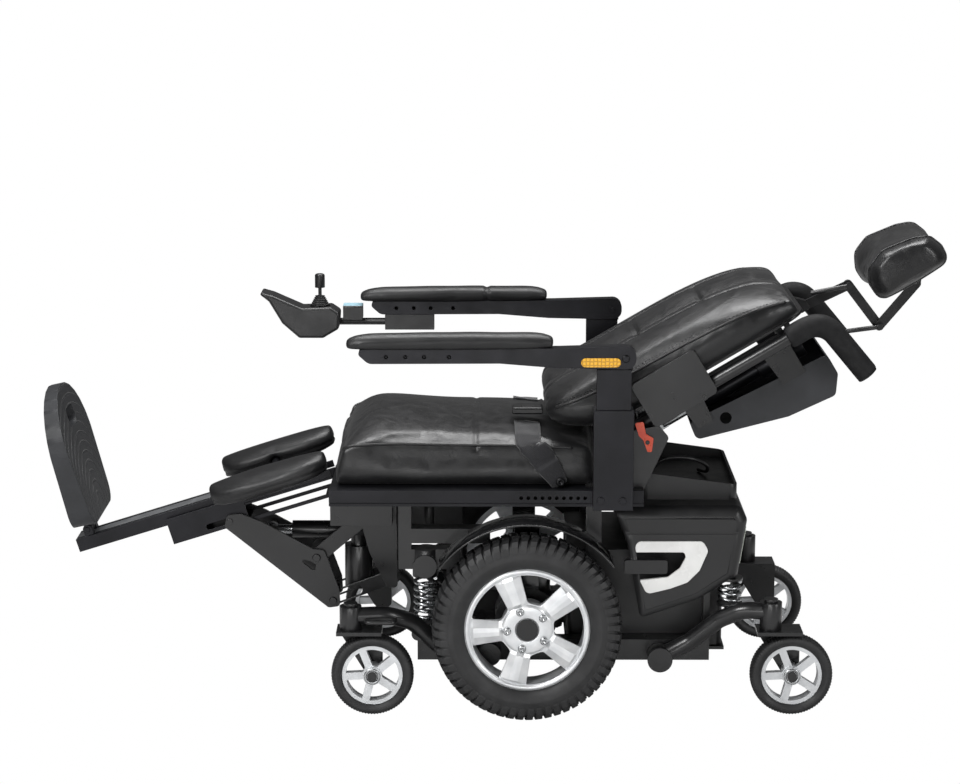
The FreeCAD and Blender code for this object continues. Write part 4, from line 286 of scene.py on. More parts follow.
finishes = {
    powderCoat: ["base_frame", "drive_motors", "recline_brackets", "legrest_mount", "back_frame",
                 "back_shell", "headrest_lower_link", "headrest_upper_link", "legrest_plates",
                 "legrest_link", "leg_actuator_body"],
    anodised: ["seat_frame", "armrest_sleeves", "back_actuator_body", "legrest_hanger", "legrest_rail"],
    satinAbs: ["battery_box", "base_shroud", "joystick_mount", "joystick_pod", "joystick_stick"],
    glossAbs: ["mudguards"],
    whiteAbs: ["shroud_trim"],
    greyPolypropylene: ["back_cover", "footplate"],
    zincPlate: ["back_actuator_rod", "leg_actuator_rod"],
    orangeEnamel: ["recline_lever"],
    castAlloy: ["drive_rim_left", "drive_rim_right"],
}
for side in ("left", "right"):
    finishes[powderCoat] += [end + kind + side for end in ("front", "rear") for kind in ("_arm_", "_fork_")]
    finishes[anodised] += ["armrest_post_" + side, "armrest_beam_" + side]
for finish, names in finishes.items():
    for name in names:
        coat(name, finish)
lampX = 385  # the trim's solids behind this are the rear lamps
coat("shroud_trim", opalLens, lambda p, n: p.x > lampX)
print("CAD nodes coated")


def addPiece(name, verts, faces, body, finish, smooth=True):
    mesh = bpy.data.meshes.new(name)
    mesh.from_pydata([tuple(v) for v in verts], [], faces)
    mesh.validate()
    mesh.update()
    piece = bpy.data.objects.new(name, mesh)
    scene.collection.objects.link(piece)
    mesh.materials.append(finish)
    for face in mesh.polygons:
        face.use_smooth = smooth
    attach(piece, body)
    return piece


def bevelled(piece, widthMm, segments=2):  # rounded edges on a hard piece
    soft = piece.modifiers.new("edge", "BEVEL")
    soft.width = widthMm * mm
    soft.segments = segments
    soft.limit_method = "ANGLE"
    soft.harden_normals = True
    return piece


# Rings of equal count become a skin; the first and last may be capped
def skin(rings, capped=True, closed=False):
    verts = [v for ring in rings for v in ring]
    count = len(rings[0])
    faces = []
    steps = len(rings) if closed else len(rings) - 1
    for i in range(steps):
        a = i * count
        b = ((i + 1) % len(rings)) * count
        for k in range(count):
            n = (k + 1) % count
            faces.append((a + k, a + n, b + n, b + k))
    if capped and not closed:
        faces.append(tuple(reversed(range(count))))
        faces.append(tuple(range(len(verts) - count, len(verts))))
    return verts, faces


# A round tube along points, its frame carried without twist
def tubeRings(points, radius, sides):
    rings = []
    heading = (points[1] - points[0]).normalized()
    side = heading.orthogonal().normalized()
    for i, p in enumerate(points):
        before = points[max(i - 1, 0)]
        after = points[min(i + 1, len(points) - 1)]
        turn = (after - before).normalized()
        side = (side - turn * side.dot(turn)).normalized()
        up = turn.cross(side)
        r = radius(i / (len(points) - 1)) if callable(radius) else radius
        angles = [2 * math.pi * k / sides for k in range(sides)]
        rings.append([p + (side * math.cos(a) + up * math.sin(a)) * r for a in angles])
    return rings


def addTube(name, points, radius, body, finish, sides=10):
    verts, faces = skin(tubeRings(points, radius, sides))
    return addPiece(name, verts, faces, body, finish)


def smoothLine(points, steps):  # Catmull-Rom curve through the points
    out = []
    ends = [points[0] * 2 - points[1]] + list(points) + [points[-1] * 2 - points[-2]]
    for i in range(1, len(ends) - 2):
        a, b, c, d = ends[i - 1:i + 3]
        for k in range(steps):
            t = k / steps
            out.append(0.5 * (b * 2 + (c - a) * t + (a * 2 - b * 5 + c * 4 - d) * t * t
                              + (b * 3 - a - c * 3 + d) * t ** 3))
    out.append(points[-1])
    return out


def evenLine(points, spacing):  # points a set distance apart along a line
    out = [points[0]]
    left = spacing
    for a, b in zip(points, points[1:]):
        run = (b - a).length
        done = 0.0
        while run - done >= left:
            done += left
            out.append(a.lerp(b, done / run))
            left = spacing
        left -= run - done
    return out


# Turned ring about a wheel's axle: profile of (radius, y) in mm
def turnedRings(profile, centre, segments, ripple=None):
    rings = []
    for i in range(segments):
        angle = 2 * math.pi * i / segments
        ring = []
        for k, (r, y) in enumerate(profile):
            r = r + (ripple(i, k) if ripple else 0.0)
            ring.append(centre + Vector((r * math.cos(angle), y, r * math.sin(angle))) * mm)
        rings.append(ring)
    return rings


# Drive tyres: a low carcass, and blocks that wrap from the tread over the shoulder
driveTyre = {"radius": 176, "seat": 116.2, "groove": 6, "lugs": 60, "fill": 0.7, "segments": 120,
             "y": 270, "z": 176}


def addDriveTyre(side, sign):
    t = driveTyre
    centre = at(0, sign * t["y"], t["z"])
    low = t["radius"] - t["groove"]
    arc = [(t["seat"], -26), (120, -29), (124, -33), (132, -36), (136, -37.6), (139, -37.6), (142, -37),
           (150, -36.6), (158, -34.5), (164, -30), (low - 1, -22), (low, -10)]
    profile = arc + [(r, -y) for r, y in reversed(arc)]
    verts, faces = skin(turnedRings(profile, centre, t["segments"]), closed=True)
    # blocks: sections across the tread, each (y, inner radius, outer radius)
    shoulder = [(37.4, 147, 150.5), (36, 156, 161.5), (31, 163, 170.5), (22, 167, 174.4), (11, 168, 175.6)]
    middle = [(8.5, 168, 176), (0, 168, 176), (-8.5, 168, 176)]
    pitch = 2 * math.pi / t["lugs"]
    rows = [(shoulder, 0.0, 0.10), ([(-y, a, b) for y, a, b in shoulder], 0.5, -0.10), (middle, 0.25, 0.0)]
    for sections, offset, rake in rows:
        for i in range(t["lugs"]):
            first = len(verts)
            for n, (y, inner, outer) in enumerate(sections):
                turn = pitch * (i + offset) + rake * pitch * n
                wide = pitch * t["fill"] / 2
                for r, share in ((inner, 1.08), (outer, 0.92)):
                    for s in (-1, 1):
                        a = turn + s * wide * share
                        verts.append(centre + Vector((r * math.cos(a), y, r * math.sin(a))) * mm)
            for n in range(len(sections) - 1):
                a = first + n * 4
                b = a + 4
                faces += [(a, b, b + 2, a + 2), (a + 2, b + 2, b + 3, a + 3), (a + 3, b + 3, b + 1, a + 1)]
            end = first + (len(sections) - 1) * 4
            faces += [(first, first + 2, first + 3, first + 1), (end, end + 1, end + 3, end + 2)]
    piece = addPiece("tyre_drive_" + side, verts, faces, "drive_wheel_" + side, tyreRubber)
    for face in piece.data.polygons:
        face.use_smooth = face.index < t["segments"] * len(profile)
    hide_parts("drive_tyre_" + side)


# Caster tyres: fine ribs over the tread; the spoked rim keeps its CAD shape
casterTyre = {"seat": 56.6, "ribs": 84, "ribDeep": 0.9, "z": 77}
casterPlaces = {"front": (-287.5, 245.0), "rear": (493.4, 242.0)}


def addCaster(end, side, sign):
    t = casterTyre
    x, y = casterPlaces[end]
    centre = at(x, sign * y, t["z"])
    node = end + "_caster_" + side
    arc = [(t["seat"], -13.4), (59, -15.6), (63, -18.4), (67, -19.8), (71, -19), (74, -16.6), (76, -12),
           (77, -5)]
    profile = arc + [(r, -w) for r, w in reversed(arc)]

    def ripple(i, k):
        return -t["ribDeep"] if i % 4 in (0, 1) and 4 <= k < len(profile) - 4 else 0.0

    verts, faces = skin(turnedRings(profile, centre, t["ribs"] * 4, ripple), closed=True)
    rubber = addPiece("tyre_" + node, verts, faces, node, tyreRubber)
    source = nodes[node].data
    inside = (t["seat"] - 0.1) * mm
    keep = [f for f in source.polygons
            if all((source.vertices[v].co - centre).xz.length < inside for v in f.vertices)]
    rim = copyFaces("rim_" + node, node, keep, node, castAlloy)
    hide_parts(node)


# Some faces of a CAD node as a hard piece of their own
def copyFaces(name, node, keep, body, finish):
    source = nodes[node].data
    used = sorted({v for f in keep for v in f.vertices})
    index = {v: i for i, v in enumerate(used)}
    verts = [source.vertices[v].co for v in used]
    faces = [[index[v] for v in f.vertices] for f in keep]
    piece = addPiece(name, verts, faces, body, finish, smooth=False)
    weld(piece)
    return piece


def weld(piece):  # joins doubled vertices of a copied CAD mesh and shades it smooth between sharp edges
    mesh = bmesh.new()
    mesh.from_mesh(piece.data)
    bmesh.ops.remove_doubles(mesh, verts=mesh.verts, dist=1e-6)
    for edge in mesh.edges:
        edge.smooth = len(edge.link_faces) == 2 and edge.calc_face_angle(0.0) < math.radians(30)
    for face in mesh.faces:
        face.smooth = True
    mesh.to_mesh(piece.data)
    mesh.free()


rimFace = 291.05  # faces outside this are the wheel's nuts and cap, mm
capRadius = 20.2
for side, sign in (("left", -1), ("right", 1)):
    addDriveTyre(side, sign)
    for end in ("front", "rear"):
        addCaster(end, side, sign)
    axle = Vector((0, 0, driveTyre["z"]))
    coat("drive_rim_" + side, zincPlate,
         lambda p, n: 28 < (p - axle).xz.length < 46 and abs(p.y) > rimFace)
    coat("drive_rim_" + side, satinAbs, lambda p, n: (p - axle).xz.length < capRadius and abs(p.y) > rimFace)
print("wheels dressed")


# A soft piece: the CAD form remeshed, puffed by air pressure and held at its backing
def softCopy(name, node, look, finish, body, places=None, held=None):
    source = nodes[node].data
    mesh = bmesh.new()
    mesh.from_mesh(source)
    bmesh.ops.remove_doubles(mesh, verts=mesh.verts, dist=1e-6)
    if places:
        others = [v for v in mesh.verts if v.co.to_tuple(7) not in places]
        bmesh.ops.delete(mesh, geom=others, context="VERTS")
    data = bpy.data.meshes.new(name)
    mesh.to_mesh(data)
    mesh.free()
    piece = bpy.data.objects.new(name, data)
    scene.collection.objects.link(piece)
    even = piece.modifiers.new("even", "REMESH")
    even.mode = "VOXEL"
    even.voxel_size = look["cell"] * mm
    bake(piece)
    ease = piece.modifiers.new("ease", "SMOOTH")
    ease.factor = 0.5
    ease.iterations = look["ease"]
    bake(piece)
    rest = [v.co.copy() for v in piece.data.vertices]
    if look["puff"]:
        pins = piece.vertex_groups.new(name="held")
        fixed = [v.index for v in piece.data.vertices if held and held(toMm(v.co))]
        pins.add(fixed, 1.0, "REPLACE")
        cloth = piece.modifiers.new("cloth", "CLOTH")
        cloth.settings.quality = 4
        cloth.settings.mass = 0.3
        cloth.settings.tension_stiffness = look["stiff"]
        cloth.settings.compression_stiffness = look["stiff"]
        cloth.settings.use_pressure = True
        cloth.settings.uniform_pressure_force = look["puff"]
        cloth.settings.effector_weights.gravity = 0.0
        if fixed:
            cloth.settings.vertex_group_mass = "held"
        cloth.point_cache.frame_start = 1
        cloth.point_cache.frame_end = 20
        for step in range(1, 21):
            scene.frame_set(step)
        bake(piece)
        scene.frame_set(1)
        for v, home in zip(piece.data.vertices, rest):
            move = v.co - home
            if move.length > look["cap"] * mm:
                v.co = home + move.normalized() * look["cap"] * mm
        calm = piece.modifiers.new("calm", "SMOOTH")
        calm.factor = 0.5
        calm.iterations = look["calm"]
        bake(piece)
    piece.data.materials.clear()
    piece.data.materials.append(finish)
    for face in piece.data.polygons:
        face.use_smooth = True
        face.material_index = 0
    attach(piece, body)
    return piece


def bake(piece):  # the modifiers' result becomes the mesh
    graph = bpy.context.evaluated_depsgraph_get()
    result = bpy.data.meshes.new_from_object(piece.evaluated_get(graph))
    piece.modifiers.clear()
    piece.data = result


def toMm(p):  # scene point to mm from the drive axle
    return Vector((p.x / mm - axleX, p.y / mm, p.z / mm))


def pressSeam(piece, distance, wide, deep):  # draws a seam into the skin along a line of zero distance
    piece.data.update()
    normals = [v.normal.copy() for v in piece.data.vertices]
    for v, normal in zip(piece.data.vertices, normals):
        d = distance(toMm(v.co), normal)
        if d is not None and abs(d) < wide:
            v.co -= normal * deep * mm * (0.5 + 0.5 * math.cos(math.pi * d / wide)) ** 2


def smoother(piece):
    piece.modifiers.new("fine", "SUBSURF").levels = 1
    piece.modifiers["fine"].render_levels = 1


def treeOf(piece):  # for finding the nearest place on a piece
    return BVHTree.FromPolygons([v.co for v in piece.data.vertices],
                                [f.vertices for f in piece.data.polygons])


def onSkin(piece, points, lift):  # lays points on a piece's surface
    tree = treeOf(piece)
    out = []
    for p in points:
        spot, normal = tree.find_nearest(p)[:2]
        out.append((spot + normal * lift * mm, normal))
    return out


def relaxed(points, rounds=3):  # evens out small wobbles of a laid line
    for _ in range(rounds):
        middle = [(a + b * 2 + c) / 4 for a, b, c in zip(points, points[1:], points[2:])]
        points = [points[0]] + middle + [points[-1]]
    return points


def addPiping(name, piece, corners, body, finish, radiusMm=2.6, lift=0.6):
    line = evenLine(smoothLine(corners, 24), 4 * mm)
    laid = relaxed([spot for spot, _ in onSkin(piece, line, lift)])
    tube = addTube(name, laid, radiusMm * mm, body, finish, 8)
    return tube


def addStitches(name, piece, corners, body, longMm=5.0, gapMm=2.6):
    line = evenLine(smoothLine(corners, 24), 1.0 * mm)
    laid = onSkin(piece, line, 0.25)
    verts = []
    faces = []
    step = int(longMm + gapMm)
    for i in range(0, len(laid) - int(longMm), step):
        part = [laid[i + k][0] for k in range(0, int(longMm) + 1, 2)]
        if (part[0] - part[-1]).length < 1e-5:
            continue
        rings, quads = skin(tubeRings(part, lambda t: 0.62 * mm * (0.55 + 0.45 * math.sin(math.pi * t)), 6))
        faces += [tuple(len(verts) + k for k in q) for q in quads]
        verts += rings
    piece = addPiece(name, verts, faces, body, thread)
    return piece


# Seat cushion: crowned leather box with a cross seam and piping round its top edge
seatCushion = {"cell": 5, "ease": 4, "puff": 3.0, "stiff": 26, "cap": 5, "calm": 7, "slot": "leather",
               "seamX": -96, "edgeY": 197, "rearX": 62, "rearEase": 36, "rearReach": 36, "panZ": 432}


def addSeatCushion():
    look = seatCushion
    piece = softCopy("leather_seat", "seat_cushion", look, leather, "base", held=lambda p: p.z < look["panZ"])
    for v in piece.data.vertices:  # the cushion's rear end runs on under the back, past the strap
        share = min(1.0, max(0.0, (toMm(v.co).x - look["rearX"]) / look["rearEase"]))
        v.co.x += look["rearReach"] * mm * share * share * (3 - 2 * share)
    pressSeam(piece, lambda p, n: p.x - look["seamX"] if p.z > 480 and n.z > 0.2 else None, 6, 4)
    smoother(piece)
    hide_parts("seat_cushion")
    edge = [(84, 500), (10, 504), (-96, 506), (-215, 508), (-322, 503)]
    y = look["edgeY"]
    front = [(-350, -y + 22), (-356, -110), (-358, 0), (-356, 110), (-350, y - 22)]
    loop = [at(x, -y, z) for x, z in edge] + [at(x, w, 494) for x, w in front]
    loop += [at(x, y, z) for x, z in reversed(edge)]
    addPiping("seat_piping", piece, loop, "base", leather)


# The leaned back and the raised leg rest: a pivot in mm and a slope in degrees
backFrame = {"x": 227, "z": 551, "slope": 31}
legFrame = {"x": -366, "z": 422, "slope": 17.3}


def pointOn(place, a, n, y):  # a mm along the slope and n mm off it
    c, s = math.cos(math.radians(place["slope"])), math.sin(math.radians(place["slope"]))
    return at(place["x"] + a * c - n * s, y, place["z"] + a * s + n * c)


def coordOn(place, p):
    c, s = math.cos(math.radians(place["slope"])), math.sin(math.radians(place["slope"]))
    dx, dz = p.x - place["x"], p.z - place["z"]
    return dx * c + dz * s, -dx * s + dz * c


# Back cushion: two bolsters beside a sunk channel, piped edge with twin stitching
backCushion = {"cell": 5, "ease": 4, "puff": 3.5, "stiff": 20, "cap": 6, "calm": 4, "slot": "leather",
               "bolsterY": 92, "crossA": (52, 188), "panN": 32, "faceN": 70}


def addBackCushion():
    look = backCushion
    piece = softCopy("leather_back", "back_cushion", look, leather, "back_carrier",
                     held=lambda p: coordOn(backFrame, p)[1] < look["panN"])

    def channel(p, n):
        return abs(p.y) - look["bolsterY"] if coordOn(backFrame, p)[1] > look["faceN"] else None

    pressSeam(piece, channel, 12, 5)
    for across in look["crossA"]:
        def seam(p, n):
            a, off = coordOn(backFrame, p)
            return a - across if off > look["faceN"] and abs(p.y) < look["bolsterY"] else None

        pressSeam(piece, seam, 11, 4)
    smoother(piece)
    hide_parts("back_cushion")
    edge = [(-140, 108, 186), (-90, 102, 198), (0, 96, 200), (130, 92, 201), (260, 79, 196), (325, 58, 176)]
    for sign in (-1, 1):
        pipe = [pointOn(backFrame, a, n, sign * w) for a, n, w in edge]
        addPiping("back_piping_%d" % sign, piece, pipe, "back_carrier", leather)
        for lift in (8, 14):
            line = [pointOn(backFrame, a, n + lift, sign * (w + 2)) for a, n, w in edge]
            addStitches("back_stitch_%d_%d" % (sign, lift), piece, line, "back_carrier")
        line = [pointOn(backFrame, a, 135, sign * (look["bolsterY"] + 7)) for a in (-90, 0, 130, 260, 310)]
        addStitches("back_channel_stitch_%d" % sign, piece, line, "back_carrier")


addSeatCushion()
addBackCushion()
print("seat and back upholstered")


# Loose parts of a CAD node, largest box first, as sets of welded vertices' places
def islandsOf(node):
    mesh = bmesh.new()
    mesh.from_mesh(nodes[node].data)
    bmesh.ops.remove_doubles(mesh, verts=mesh.verts, dist=1e-6)
    seen = set()
    groups = []
    for start in mesh.verts:
        if start.index in seen:
            continue
        seen.add(start.index)
        stack = [start]
        group = []
        while stack:
            v = stack.pop()
            group.append(v)
            for edge in v.link_edges:
                other = edge.other_vert(v)
                if other.index not in seen:
                    seen.add(other.index)
                    stack.append(other)
        span = [max(v.co[k] for v in group) - min(v.co[k] for v in group) for k in range(3)]
        groups.append((span[0] * span[1] * span[2], {v.co.to_tuple(7) for v in group}))
    mesh.free()
    return [group[1] for group in sorted(groups, key=lambda g: -g[0])]


# Headrest: curved leather pad, piped round both end panels; its bracket keeps the CAD shape
headrestPad = {"cell": 4, "ease": 5, "puff": 3.0, "stiff": 20, "cap": 5, "calm": 3, "slot": "leather",
               "centre": (704.5, 828.7), "pipeY": 104, "reach": 130}


def addHeadrest():
    look = headrestPad
    parts = islandsOf("headrest_pad")
    piece = softCopy("leather_headrest", "headrest_pad", look, leather, "headrest", places=parts[0])
    smoother(piece)
    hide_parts("headrest_pad")
    source = nodes["headrest_pad"].data
    rest = set().union(*parts[1:])
    keep = [f for f in source.polygons if source.vertices[f.vertices[0]].co.to_tuple(7) in rest]
    bracket = copyFaces("headrest_bracket", "headrest_pad", keep, "headrest", powderCoat)
    x, z = look["centre"]
    for sign in (-1, 1):
        turns = [math.radians(a) for a in range(0, 361, 12)]
        ring = [at(x + look["reach"] * math.cos(a), sign * look["pipeY"], z + look["reach"] * math.sin(a))
                for a in turns]
        addPiping("headrest_piping_%d" % sign, piece, ring, "headrest", leather, 2.2, 0.4)
        for shift in (7, 12):
            line = [Vector((p.x, p.y - sign * shift * mm, p.z)) for p in ring]
            addStitches("headrest_stitch_%d_%d" % (sign, shift), piece, line, "headrest", 4.0, 3.0)


# Moulded arm pads; the right one is in two sections with a seam between
armPad = {"cell": 4, "ease": 3, "puff": 1.5, "stiff": 30, "cap": 4, "calm": 6, "slot": "moulded_foam",
          "seamX": -75}
# Calf pads: thick oval mouldings with a parting groove round the side
calfPad = {"cell": 4, "ease": 6, "puff": 2.0, "stiff": 30, "cap": 6, "calm": 8, "slot": "moulded_foam",
           "partN": 27}


def addPads():
    for side in ("left", "right"):
        piece = softCopy("foam_armpad_" + side, "armrest_pad_" + side, armPad, foamSkin, "armrest_" + side)
        if side == "right":
            pressSeam(piece, lambda p, n: p.x - armPad["seamX"], 6, 5)
        smoother(piece)
        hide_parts("armrest_pad_" + side)
    piece = softCopy("foam_calf_pads", "calf_pads", calfPad, foamSkin, "legrest")

    def parting(p, n):
        return coordOn(legFrame, p)[1] - calfPad["partN"] if abs(n.z) < 0.75 else None

    pressSeam(piece, parting, 5, 2.5)
    smoother(piece)
    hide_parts("calf_pads")


# Lap belt: two webbing straps from the seat's sides over the cushion, the near one ending in a buckle
lapBelt = {"wide": 48, "thick": 2.4, "step": 5, "sideZ": 470, "lift": 1.2, "wave": 0.5, "curl": 0.8,
           "guide": ((62, 211, 430), (50, 212, 450), (24, 213, 488), (10, 209, 510), (4, 190, 531),
                     (3, 150, 541), (2, 100, 545)), "anchor": (62, 214.5, 437)}


def addBelt():
    b = lapBelt
    cloth = treeOf(bpy.data.objects["leather_seat"])
    for side, sign in (("left", -1), ("right", 1)):
        guide = [at(x, sign * y, z) for x, y, z in b["guide"]]
        line = evenLine(smoothLine(guide, 16), b["step"] * mm)
        rings = []
        for i, p in enumerate(line):
            spot, normal = cloth.find_nearest(p)[:2]
            base = spot + normal * (b["thick"] / 2 + b["lift"] + b["wave"] * math.sin(i * 0.55)) * mm
            if toMm(p).z < b["sideZ"]:  # beside the seat it hangs free of the cushion
                base = p
                normal = Vector((0, sign, 0))
            heading = (line[min(i + 1, len(line) - 1)] - line[max(i - 1, 0)]).normalized()
            across = heading.cross(normal).normalized()
            share = i / (len(line) - 1)
            half = b["wide"] / 2 * (0.62 + 0.38 * min(1.0, share / 0.25)) * mm
            edges = [-1 + 2 * k / 8 for k in range(9)]
            ring = []
            for face, row in ((1, edges), (-1, reversed(edges))):
                for u in row:
                    high = face * b["thick"] / 2 + b["curl"] * math.sin(3 * u + i * 0.3)
                    ring.append(base + across * half * u + normal * high * mm)
            rings.append(ring)
        verts, faces = skin(rings)
        strap = addPiece("lap_strap_" + side, verts, faces, "base", webbing)
        if side == "left":
            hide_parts("lap_belt")
            addBuckle(line[-1] + Vector((0, 12, 4)) * mm)
        x, y, z = b["anchor"]
        anchor = addButton("belt_anchor_" + side, at(x, sign * y, z), Vector((0, sign, 0)), 9, 4, "base",
                           blackOxide)


def addBuckle(centre):
    outline = [(-29, -22), (29, -22), (29, 14), (20, 24), (-20, 24), (-29, 14)]
    levels = ((-6, 0.94), (-3, 1), (4, 1), (7, 0.9))
    rings = [[centre + Vector((x * s, y * s, z)) * mm for x, y in outline] for z, s in levels]
    verts, faces = skin(rings)
    case = bevelled(addPiece("belt_buckle", verts, faces, "base", satinAbs, smooth=False), 2.5, 3)
    corners = ((-12, -16), (12, -16), (12, 0), (-12, 0))
    verts, faces = skin([[centre + Vector((x, y, z)) * mm for x, y in corners] for z in (6, 8.5)])
    button = bevelled(addPiece("belt_release", verts, faces, "base", satinAbs, smooth=False), 1.0)


# A button-head screw: domed head with a hexagon socket
def addButton(name, place, axis, radius, high, body, finish):
    side = axis.orthogonal().normalized()
    up = axis.cross(side)
    profile = [(1.0, -0.25), (1.0, 0.25), (0.93, 0.6), (0.78, 0.86), (0.55, 1.0), (0.5, 0.97), (0.46, 0.35)]
    rings = []
    for r, h in profile:
        ring = []
        for k in range(24):
            a = 2 * math.pi * k / 24
            reach = r * radius
            if r <= 0.5:
                reach *= math.cos(math.pi / 6) / math.cos((a % (math.pi / 3)) - math.pi / 6)
            spoke = (side * math.cos(a) + up * math.sin(a)) * reach
            ring.append(place + (spoke + axis * h * high) * mm)
        rings.append(ring)
    verts, faces = skin(rings)
    return addPiece(name, verts, faces, body, finish)


addHeadrest()
addPads()
addBelt()
print("headrest, pads and belt made")


# Foam sleeves over the push handles, domed at the lower end
handGrip = {"start": 294, "corner": 366, "bend": 46, "tip": (388.0, -139.0), "radius": 21, "y": 188}


def addGrips():
    g = handGrip
    along = Vector((1, 0))
    fall = (Vector(g["tip"]) - Vector((g["corner"], 0))).normalized()
    turn = along.angle(fall)
    reach = g["bend"] * math.tan(turn / 2)
    first = Vector((g["corner"] - reach, 0))
    hub = first + Vector((0, -g["bend"]))
    flat = [Vector((g["start"], 0)), first]
    for k in range(1, 11):
        angle = turn * k / 10
        flat.append(hub + Vector((math.sin(angle), math.cos(angle))) * g["bend"])
    flat.append(Vector(g["tip"]))
    for sign in (-1, 1):
        line = evenLine([pointOn(backFrame, p.x, p.y, sign * g["y"]) for p in flat], 4 * mm)
        rings = tubeRings(line, g["radius"] * mm, 28)
        last = len(rings) - 1
        for i, shrink in ((0, 0.86), (1, 0.97), (last - 1, 0.97), (last, 0.78)):
            rings[i] = [line[i] + (v - line[i]) * shrink for v in rings[i]]
        verts, faces = skin(rings)
        sleeve = addPiece("foam_grip_%d" % sign, verts, faces, "back", gripFoam)


# Pleated rubber boot round the joystick's stick
stickBoot = {"x": -411, "y": 263, "z": 690, "high": 17, "radii": (17.5, 9), "pleats": 5, "pleatDeep": 1.3}


def addBoot():
    b = stickBoot
    rings = []
    count = b["pleats"] * 6
    wide, narrow = b["radii"]
    angles = [2 * math.pi * k / 32 for k in range(32)]
    for i in range(count + 1):
        t = i / count
        r = wide + (narrow - wide) * t + b["pleatDeep"] * math.cos(2 * math.pi * b["pleats"] * t)
        z = b["z"] + b["high"] * t
        rings.append([at(b["x"] + r * math.cos(a), b["y"] + r * math.sin(a), z) for a in angles])
    verts, faces = skin(rings)
    boot = addPiece("rubber_boot", verts, faces, "joystick_gimbal", tyreRubber)
    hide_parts("joystick_boot")


# Long rounded reflectors on the outer faces of the armrest beams
reflector = {"x": (96, 168), "z": 674, "high": 17, "thick": 2.4, "y": 277}


def addReflectors():
    r = reflector
    half = r["high"] / 2
    for side, sign in (("left", -1), ("right", 1)):
        ring = []
        for end, turn in ((r["x"][1] - half, -90), (r["x"][0] + half, 90)):
            for k in range(13):
                a = math.radians(turn + 15 * k)
                ring.append((end + half * math.cos(a), r["z"] + half * math.sin(a)))
        mid = sum(r["x"]) / 2
        rings = []
        for out, scale in ((-0.5, 1), (r["thick"] * 0.6, 1), (r["thick"], 0.96)):
            rings.append([at(mid + (x - mid) * scale, sign * (r["y"] + out), r["z"] + (z - r["z"]) * scale)
                          for x, z in ring])
        verts, faces = skin(rings)
        piece = addPiece("reflector_" + side, verts, faces, "armrest_" + side, amberPrism, smooth=False)


# Screw heads where the pivots show one, and plugs in the armrest beams' holes
screwHeads = {"arm_pivot": ((177, 277, 681), 7.5, 3, "armrest_"),
              "leg_pivot": ((-403, 51, 247), 8, 3.4, "legrest"),
              "link_pin": ((-372, 51, 161), 8, 3.4, "legrest")}
beamPlugs = {"x": (-257, -222, -188, -143), "y": 273, "z": 684, "radius": 3.9, "high": 2.0}


def addScrews():
    b = beamPlugs
    for side, sign in (("left", -1), ("right", 1)):
        out = Vector((0, sign, 0))
        for name, ((x, y, z), radius, high, body) in screwHeads.items():
            body = body + side if body.endswith("_") else body
            screw = addButton("screw_" + name + "_" + side, at(x, sign * y, z), out, radius, high, body,
                              blackOxide)
        for k, x in enumerate(b["x"]):
            plug = addButton("beam_plug_%s_%d" % (side, k), at(x, sign * b["y"], b["z"]), out, b["radius"],
                             b["high"], "armrest_" + side, blackOxide)


# A black cable laid in a loop over the tray
trayCable = {"diameter": 7, "points": ((232, -70, 405.7), (238, -74, 425), (258, -82, 447), (290, -92, 456),
                                       (322, -88, 450), (345, -60, 432), (348, -20, 412), (336, 20, 405.7))}


def addCable():
    line = evenLine(smoothLine([at(*p) for p in trayCable["points"]], 20), 3 * mm)
    cable = addTube("tray_cable", line, trayCable["diameter"] / 2 * mm, "base", satinAbs, 12)
    length = sum((b - a).length for a, b in zip(line, line[1:]))
    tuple(line[0])
    print("tray cable %.3f m" % length)


# Footplate tread: moulded arcs round the heel, drawn as relief on the face under the feet
def archedTread(name, look):
    mat, shader, place = newMaterial(name, {"IOR": 1.49, "Specular IOR Level": 0.45})
    gap = addNode(mat, "ShaderNodeVectorMath", {"operation": "DISTANCE"}, {0: place})
    gap.inputs[1].default_value = pointOn(legFrame, *look["centre"])
    wave = addNode(mat, "ShaderNodeMath", {"operation": "MULTIPLY"}, {0: gap.outputs["Value"]})
    wave.inputs[1].default_value = 2 * math.pi * perMetre(look["pitchMm"])
    swing = addNode(mat, "ShaderNodeMath", {"operation": "SINE"}, {0: wave.outputs[0]})
    step = addNode(mat, "ShaderNodeMapRange",
                   {"From Min": -0.95, "From Max": -0.55, "interpolation_type": "SMOOTHSTEP"},
                   {"Value": swing.outputs[0]})
    grain = addNoise(mat, place, look["grainMm"], 4.0)
    patch = addNoise(mat, place, look["patchMm"], 4.0)
    tone = addTone(mat, patch.outputs["Fac"], look)
    rough = addNode(mat, "ShaderNodeMapRange", {"To Min": 0.4, "To Max": 0.55},
                    {"Value": patch.outputs["Fac"]})
    fine = addBump(mat, grain.outputs["Fac"], 0.3, look["grainDeepMm"])
    cutIn = addBump(mat, step.outputs["Result"], 1.0, look["arcDeepMm"], fine)
    return joinShader(mat, shader, tone, cutIn, rough)


addGrips()
addBoot()
addReflectors()
addScrews()
addCable()
tread = archedTread("mouldedFootTread", {
    "centre": (-484, 60, 0), "pitchMm": 19, "arcDeepMm": 2.5, "grainMm": 1.1, "grainDeepMm": 0.2,
    "patchMm": 60, "dark": "1c1d1f", "light": "27282a"})
stripPlace = {"off": 11.6, "half": 18}  # the scale strip on the rail, mm
keyZ = 688.5  # the switch box's top face
coat("footplate", tread, lambda p, n: n.x > 0.8)
coat("legrest_rail", scaleStrip, lambda p, n: coordOn(legFrame, p)[1] > stripPlace["off"]
     and abs(p.y) < stripPlace["half"] and n.z > 0.8)
coat("joystick_mount", blueKey, lambda p, n: p.z > keyZ and n.z > 0.9)
coat("back_frame", gripFoam, lambda p, n: coordOn(backFrame, p)[0] > handGrip["start"])
print("grips, boot and small pieces made")


